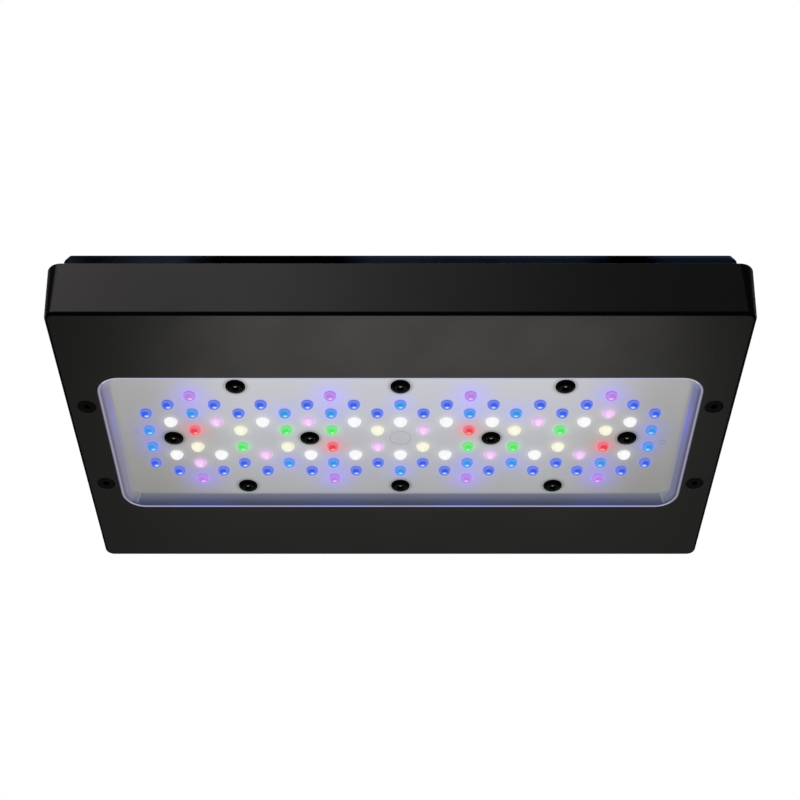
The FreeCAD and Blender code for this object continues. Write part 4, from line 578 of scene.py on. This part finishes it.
dome_mat = dome_material("lens_dome_acrylic")
for code, nm in NAMES.items():
    vs, fs, cols = [], [], []
    for lx, ly, c in LEDS:
        if c != code:
            continue
        b0 = len(vs)
        vs.append((lx * MM, ly * MM, (Z_FLOOR - DOME_H) * MM))
        cols.append(dome_tone(code, 0, 0, -lx / 120.0))
        for i in range(1, RNG + 1):
            rr = DOME_R * math.sin(0.5 * math.pi * i / RNG) if i < RNG else DOME_R
            zz = (Z_FLOOR - DOME_H + SPH) - math.sqrt(SPH ** 2 - rr ** 2)
            for j in range(SEG):
                a = 2 * math.pi * j / SEG
                vs.append(((lx + rr * math.cos(a)) * MM, (ly + rr * math.sin(a)) * MM, zz * MM))
                cols.append(dome_tone(code, rr / DOME_R * math.cos(a), rr / DOME_R * math.sin(a), -lx / 120.0))
        # foot sunk into the plate
        for j in range(SEG):
            a = 2 * math.pi * j / SEG
            vs.append(((lx + DOME_R * math.cos(a)) * MM, (ly + DOME_R * math.sin(a)) * MM, (Z_FLOOR + 0.3) * MM))
            cols.append(dome_tone(code, math.cos(a), math.sin(a), -lx / 120.0))
        for j in range(SEG):
            k = (j + 1) % SEG
            fs.append((b0, b0 + 1 + k, b0 + 1 + j))
        for i in range(RNG):
            for j in range(SEG):
                k = (j + 1) % SEG
                p0 = b0 + 1 + i * SEG
                p1 = p0 + SEG
                fs.append((p0 + j, p0 + k, p1 + k, p1 + j))
        last = b0 + 1 + RNG * SEG
        fs.append(tuple(last + j for j in range(SEG))[::-1])
    ob = mesh_object("lens_domes_" + nm, vs, fs, [dome_mat])
    colour_attr(ob.data, "tone", cols)
    bm = bmesh.new()
    bm.from_mesh(ob.data)
    bmesh.ops.recalc_face_normals(bm, faces=bm.faces)
    bm.to_mesh(ob.data)
    bm.free()


# ---------------------------------------------- lathe, rings, screw heads
def lathe(profile, cx, cy, seg=48, close_axis=True):
    """profile: (r, z) in mm from the axis outwards and round; returns verts, faces of a closed ring body."""
    vs, fs = [], []
    n = len(profile)
    for r, z in profile:
        for j in range(seg):
            a = 2 * math.pi * j / seg
            vs.append(((cx + r * math.cos(a)) * MM, (cy + r * math.sin(a)) * MM, z * MM))
    for i in range(n - 1):
        for j in range(seg):
            k = (j + 1) % seg
            fs.append((i * seg + j, i * seg + k, (i + 1) * seg + k, (i + 1) * seg + j))
    if close_axis:
        fs.append(tuple(range(seg))[::-1])
        fs.append(tuple((n - 1) * seg + j for j in range(seg)))
    else:
        for j in range(seg):
            k = (j + 1) % seg
            fs.append(((n - 1) * seg + j, (n - 1) * seg + k, k, j))
    return vs, fs


def merged(name, parts, m, body="case", smooth_angle=40):
    vs, fs = [], []
    for v_, f_ in parts:
        o_ = len(vs)
        vs.extend(v_)
        fs.extend(tuple(i + o_ for i in f) for f in f_)
    ob = mesh_object(name, vs, fs, [m], body)
    bm_ = bmesh.new()
    bm_.from_mesh(ob.data)
    bmesh.ops.recalc_face_normals(bm_, faces=bm_.faces)
    for e in bm_.edges:
        if len(e.link_faces) == 2 and e.calc_face_angle(0) > math.radians(smooth_angle):
            e.smooth = False
    bm_.to_mesh(ob.data)
    bm_.free()
    return ob


def hex_socket_head(cx, cy, profile, socket_r, floor_z, mouth_z, turn=0.0, seg=48):
    """Turned head whose face opens into a hex socket. profile runs from the socket mouth outwards and back."""
    vs, fs = [], []

    def ring_pts(fn, z):
        b_ = len(vs)
        for j in range(seg):
            a = 2 * math.pi * j / seg
            r = fn(a)
            vs.append(((cx + r * math.cos(a)) * MM, (cy + r * math.sin(a)) * MM, z * MM))
        return b_

    def hexr(a):
        t = (a + turn) % (math.pi / 3) - math.pi / 6
        return socket_r * math.cos(math.pi / 6) / math.cos(t)

    rings = [ring_pts(lambda a: hexr(a) * 0.72, floor_z), ring_pts(lambda a: hexr(a) * 0.985, floor_z - 0.0),
             ring_pts(hexr, mouth_z + (0.18 if floor_z > mouth_z else -0.18)),
             ring_pts(lambda a: hexr(a) * 0.5 + (socket_r * 1.16) * 0.5, mouth_z)]
    for r, z in profile:
        rings.append(ring_pts(lambda a, r=r: r, z))
    for a_, b_ in zip(rings[:-1], rings[1:]):
        for j in range(seg):
            k = (j + 1) % seg
            fs.append((a_ + j, a_ + k, b_ + k, b_ + j))
    fs.append(tuple(rings[0] + j for j in range(seg))[::-1])
    fs.append(tuple(rings[-1] + j for j in range(seg)))
    return vs, fs


F = Z_FLOOR
lens_profile = [(1.95, F - 1.39), (2.5, F - 1.35), (2.95, F - 1.24), (3.35, F - 1.05), (3.62, F - 0.84), (3.76, F - 0.68),
                (3.86, F - 0.60), (4.05, F - 0.57), (4.28, F - 0.53), (4.40, F - 0.42), (4.45, F - 0.30), (4.45, F + 0.1),
                (1.9, F + 0.1), (1.9, F + 6.0)]
screws = merged("lens_screw_heads", [hex_socket_head(x, y, lens_profile, 1.5, F - 0.2, F - 1.4, turn=0.3 * i)
                                     for i, (x, y) in enumerate(LENS_SCREWS)], M["screw_black"])
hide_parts("lens_screws")
# drilled point at the bottom of every socket, bare metal, set towards -Y and given a faint glow as a painted glint
pts = [lathe([(0.90, F - 0.25), (0.74, F - 0.62), (0.42, F - 0.84), (0.06, F - 0.92)], x, y - 0.62, 28, False) for x, y in LENS_SCREWS]
socket_glint_mat = moulded("socket_metal_glint", (0.42, 0.40, 0.35), (0.22, 0.34), 0.3, 900.0, 3000.0, 0.05, 0.00003, metal=1.0, emit=(0.34, 0.32, 0.26), emit_s=0.6)
pins_ = merged("lens_screw_sockets", pts, socket_glint_mat)

# clear raised rings round the screw seats, gate ring and two locating dots, all moulded with the tray
ring_mat = lens_material("lens_detail_acrylic", 0.12, coat=0.5)
bits = []
for x, y in LENS_SCREWS:
    bits.append(lathe([(4.85, F + 0.05), (4.85, F - 0.05), (4.95, F - 0.12), (5.25, F - 0.12), (5.37, F - 0.05), (5.37, F + 0.05)], x, y, 56, False))
bits.append(lathe([(4.45, F + 0.05), (4.45, F - 0.22), (4.55, F - 0.32), (5.05, F - 0.32), (5.15, F - 0.22), (5.15, F + 0.05)], 0, 0, 64, False))
for x, y in ((-120.8, -4.4), (120.7, 3.0)):
    bits.append(lathe([(0.9, F + 0.05), (0.9, F - 0.2), (1.0, F - 0.3), (1.4, F - 0.3), (1.5, F - 0.2), (1.5, F + 0.05)], x, y, 32, False))
rings = merged("lens_moulded_rings", bits, ring_mat, smooth_angle=50)
cols = []
for v_ in rings.data.vertices:
    t_ = tray_tone(v_.co.x / MM, v_.co.y / MM)
    cols.append(tuple(c * 0.86 for c in t_))
colour_attr(rings.data, "tone", cols)

# ------------------------------------------------------------- studio
world = bpy.data.worlds.new("studio")
bpy.context.scene.world = world
world.use_nodes = True
wn = world.node_tree
for n in list(wn.nodes):
    wn.nodes.remove(n)
wo = wn.nodes.new("ShaderNodeOutputWorld")
bg_cam = wn.nodes.new("ShaderNodeBackground")
bg_cam.inputs[0].default_value = (1, 1, 1, 1)
bg_cam.inputs[1].default_value = 1.0
bg_amb = wn.nodes.new("ShaderNodeBackground")
bg_amb.inputs[0].default_value = (0.96, 0.98, 1.0, 1)
bg_amb.inputs[1].default_value = 0.02
lp = wn.nodes.new("ShaderNodeLightPath")
mx = wn.nodes.new("ShaderNodeMixShader")
wn.links.new(lp.outputs["Is Camera Ray"], mx.inputs[0])
wn.links.new(bg_amb.outputs[0], mx.inputs[1])
wn.links.new(bg_cam.outputs[0], mx.inputs[2])
wn.links.new(mx.outputs[0], wo.inputs[0])
bpy.context.scene.view_settings.view_transform = "Standard"


def area(name, loc, target, size, size_y, power, col=(1, 1, 1), spread=180):
    l = bpy.data.lights.new(name, "AREA")
    l.shape = "RECTANGLE"
    l.size, l.size_y = size, size_y
    l.energy = power
    l.color = col
    l.spread = math.radians(spread)
    o = bpy.data.objects.new(name, l)
    o.location = loc
    o.rotation_euler = (Vector(target) - Vector(loc)).to_track_quat("-Z", "Y").to_euler()
    bpy.context.scene.collection.objects.link(o)
    return o


area("strip_below_back", (0.022, 0.71, -0.76), (0, -0.06, 0), 0.56, 0.17, 0.55, (1.0, 0.975, 0.93))
area("wide_below_back", (0.0, 1.45, -1.05), (0, 0.0, 0), 1.7, 1.1, 1.05, (1.0, 0.965, 0.92))
area("front_left_a", (-0.70, -1.05, 0.68), (-0.05, -0.09, 0.02), 0.55, 0.8, 1.25, (1.0, 0.93, 0.90))
area("front_left_b", (-0.36, -1.20, 0.72), (-0.05, -0.09, 0.02), 0.55, 0.8, 0.80, (1.0, 0.95, 0.93))
area("front_left_c", (-0.08, -1.28, 0.78), (-0.05, -0.09, 0.02), 0.50, 0.8, 0.34, (0.98, 0.95, 1.0))
area("front_high", (0.14, -1.30, 0.82), (0, -0.09, 0.02), 1.0, 0.6, 0.24, (0.92, 0.94, 1.0))
area("back_high", (0.0, 1.35, 1.20), (0, 0.0, 0.03), 1.8, 0.7, 4.0)
area("back_top", (0.0, 0.85, 1.45), (0, 0.0, 0.03), 2.0, 0.7, 5.0, (0.82, 0.90, 1.0))
area("top_soft", (0.1, -0.1, 1.6), (0, 0, 0), 1.4, 1.2, 1.0, (0.26, 0.42, 1.0))
area("left_side", (-1.5, 0.5, 0.5), (0, 0, 0.02), 0.9, 0.9, 3.2, (1.0, 0.98, 0.97))
area("right_side", (1.5, 0.4, 0.5), (0, 0, 0.02), 0.9, 0.9, 2.4, (0.95, 0.97, 1.0))

me = bpy.data.meshes.new("studio_floor")
S_ = 6.0
me.from_pydata([(-S_, -S_, -1.3), (S_, -S_, -1.3), (S_, S_, -1.3), (-S_, S_, -1.3)], [], [(0, 1, 2, 3)])
floor = bpy.data.objects.new("studio_floor", me)
bpy.context.scene.collection.objects.link(floor)
me.materials.append(moulded("studio_floor", (0.80, 0.80, 0.80), (0.7, 0.8), 0.01, 1.0, 60.0, 0.02, 0.001, emit=(1.0, 1.0, 1.0), emit_s=0.72))
floor.visible_glossy = False
floor.visible_diffuse = False
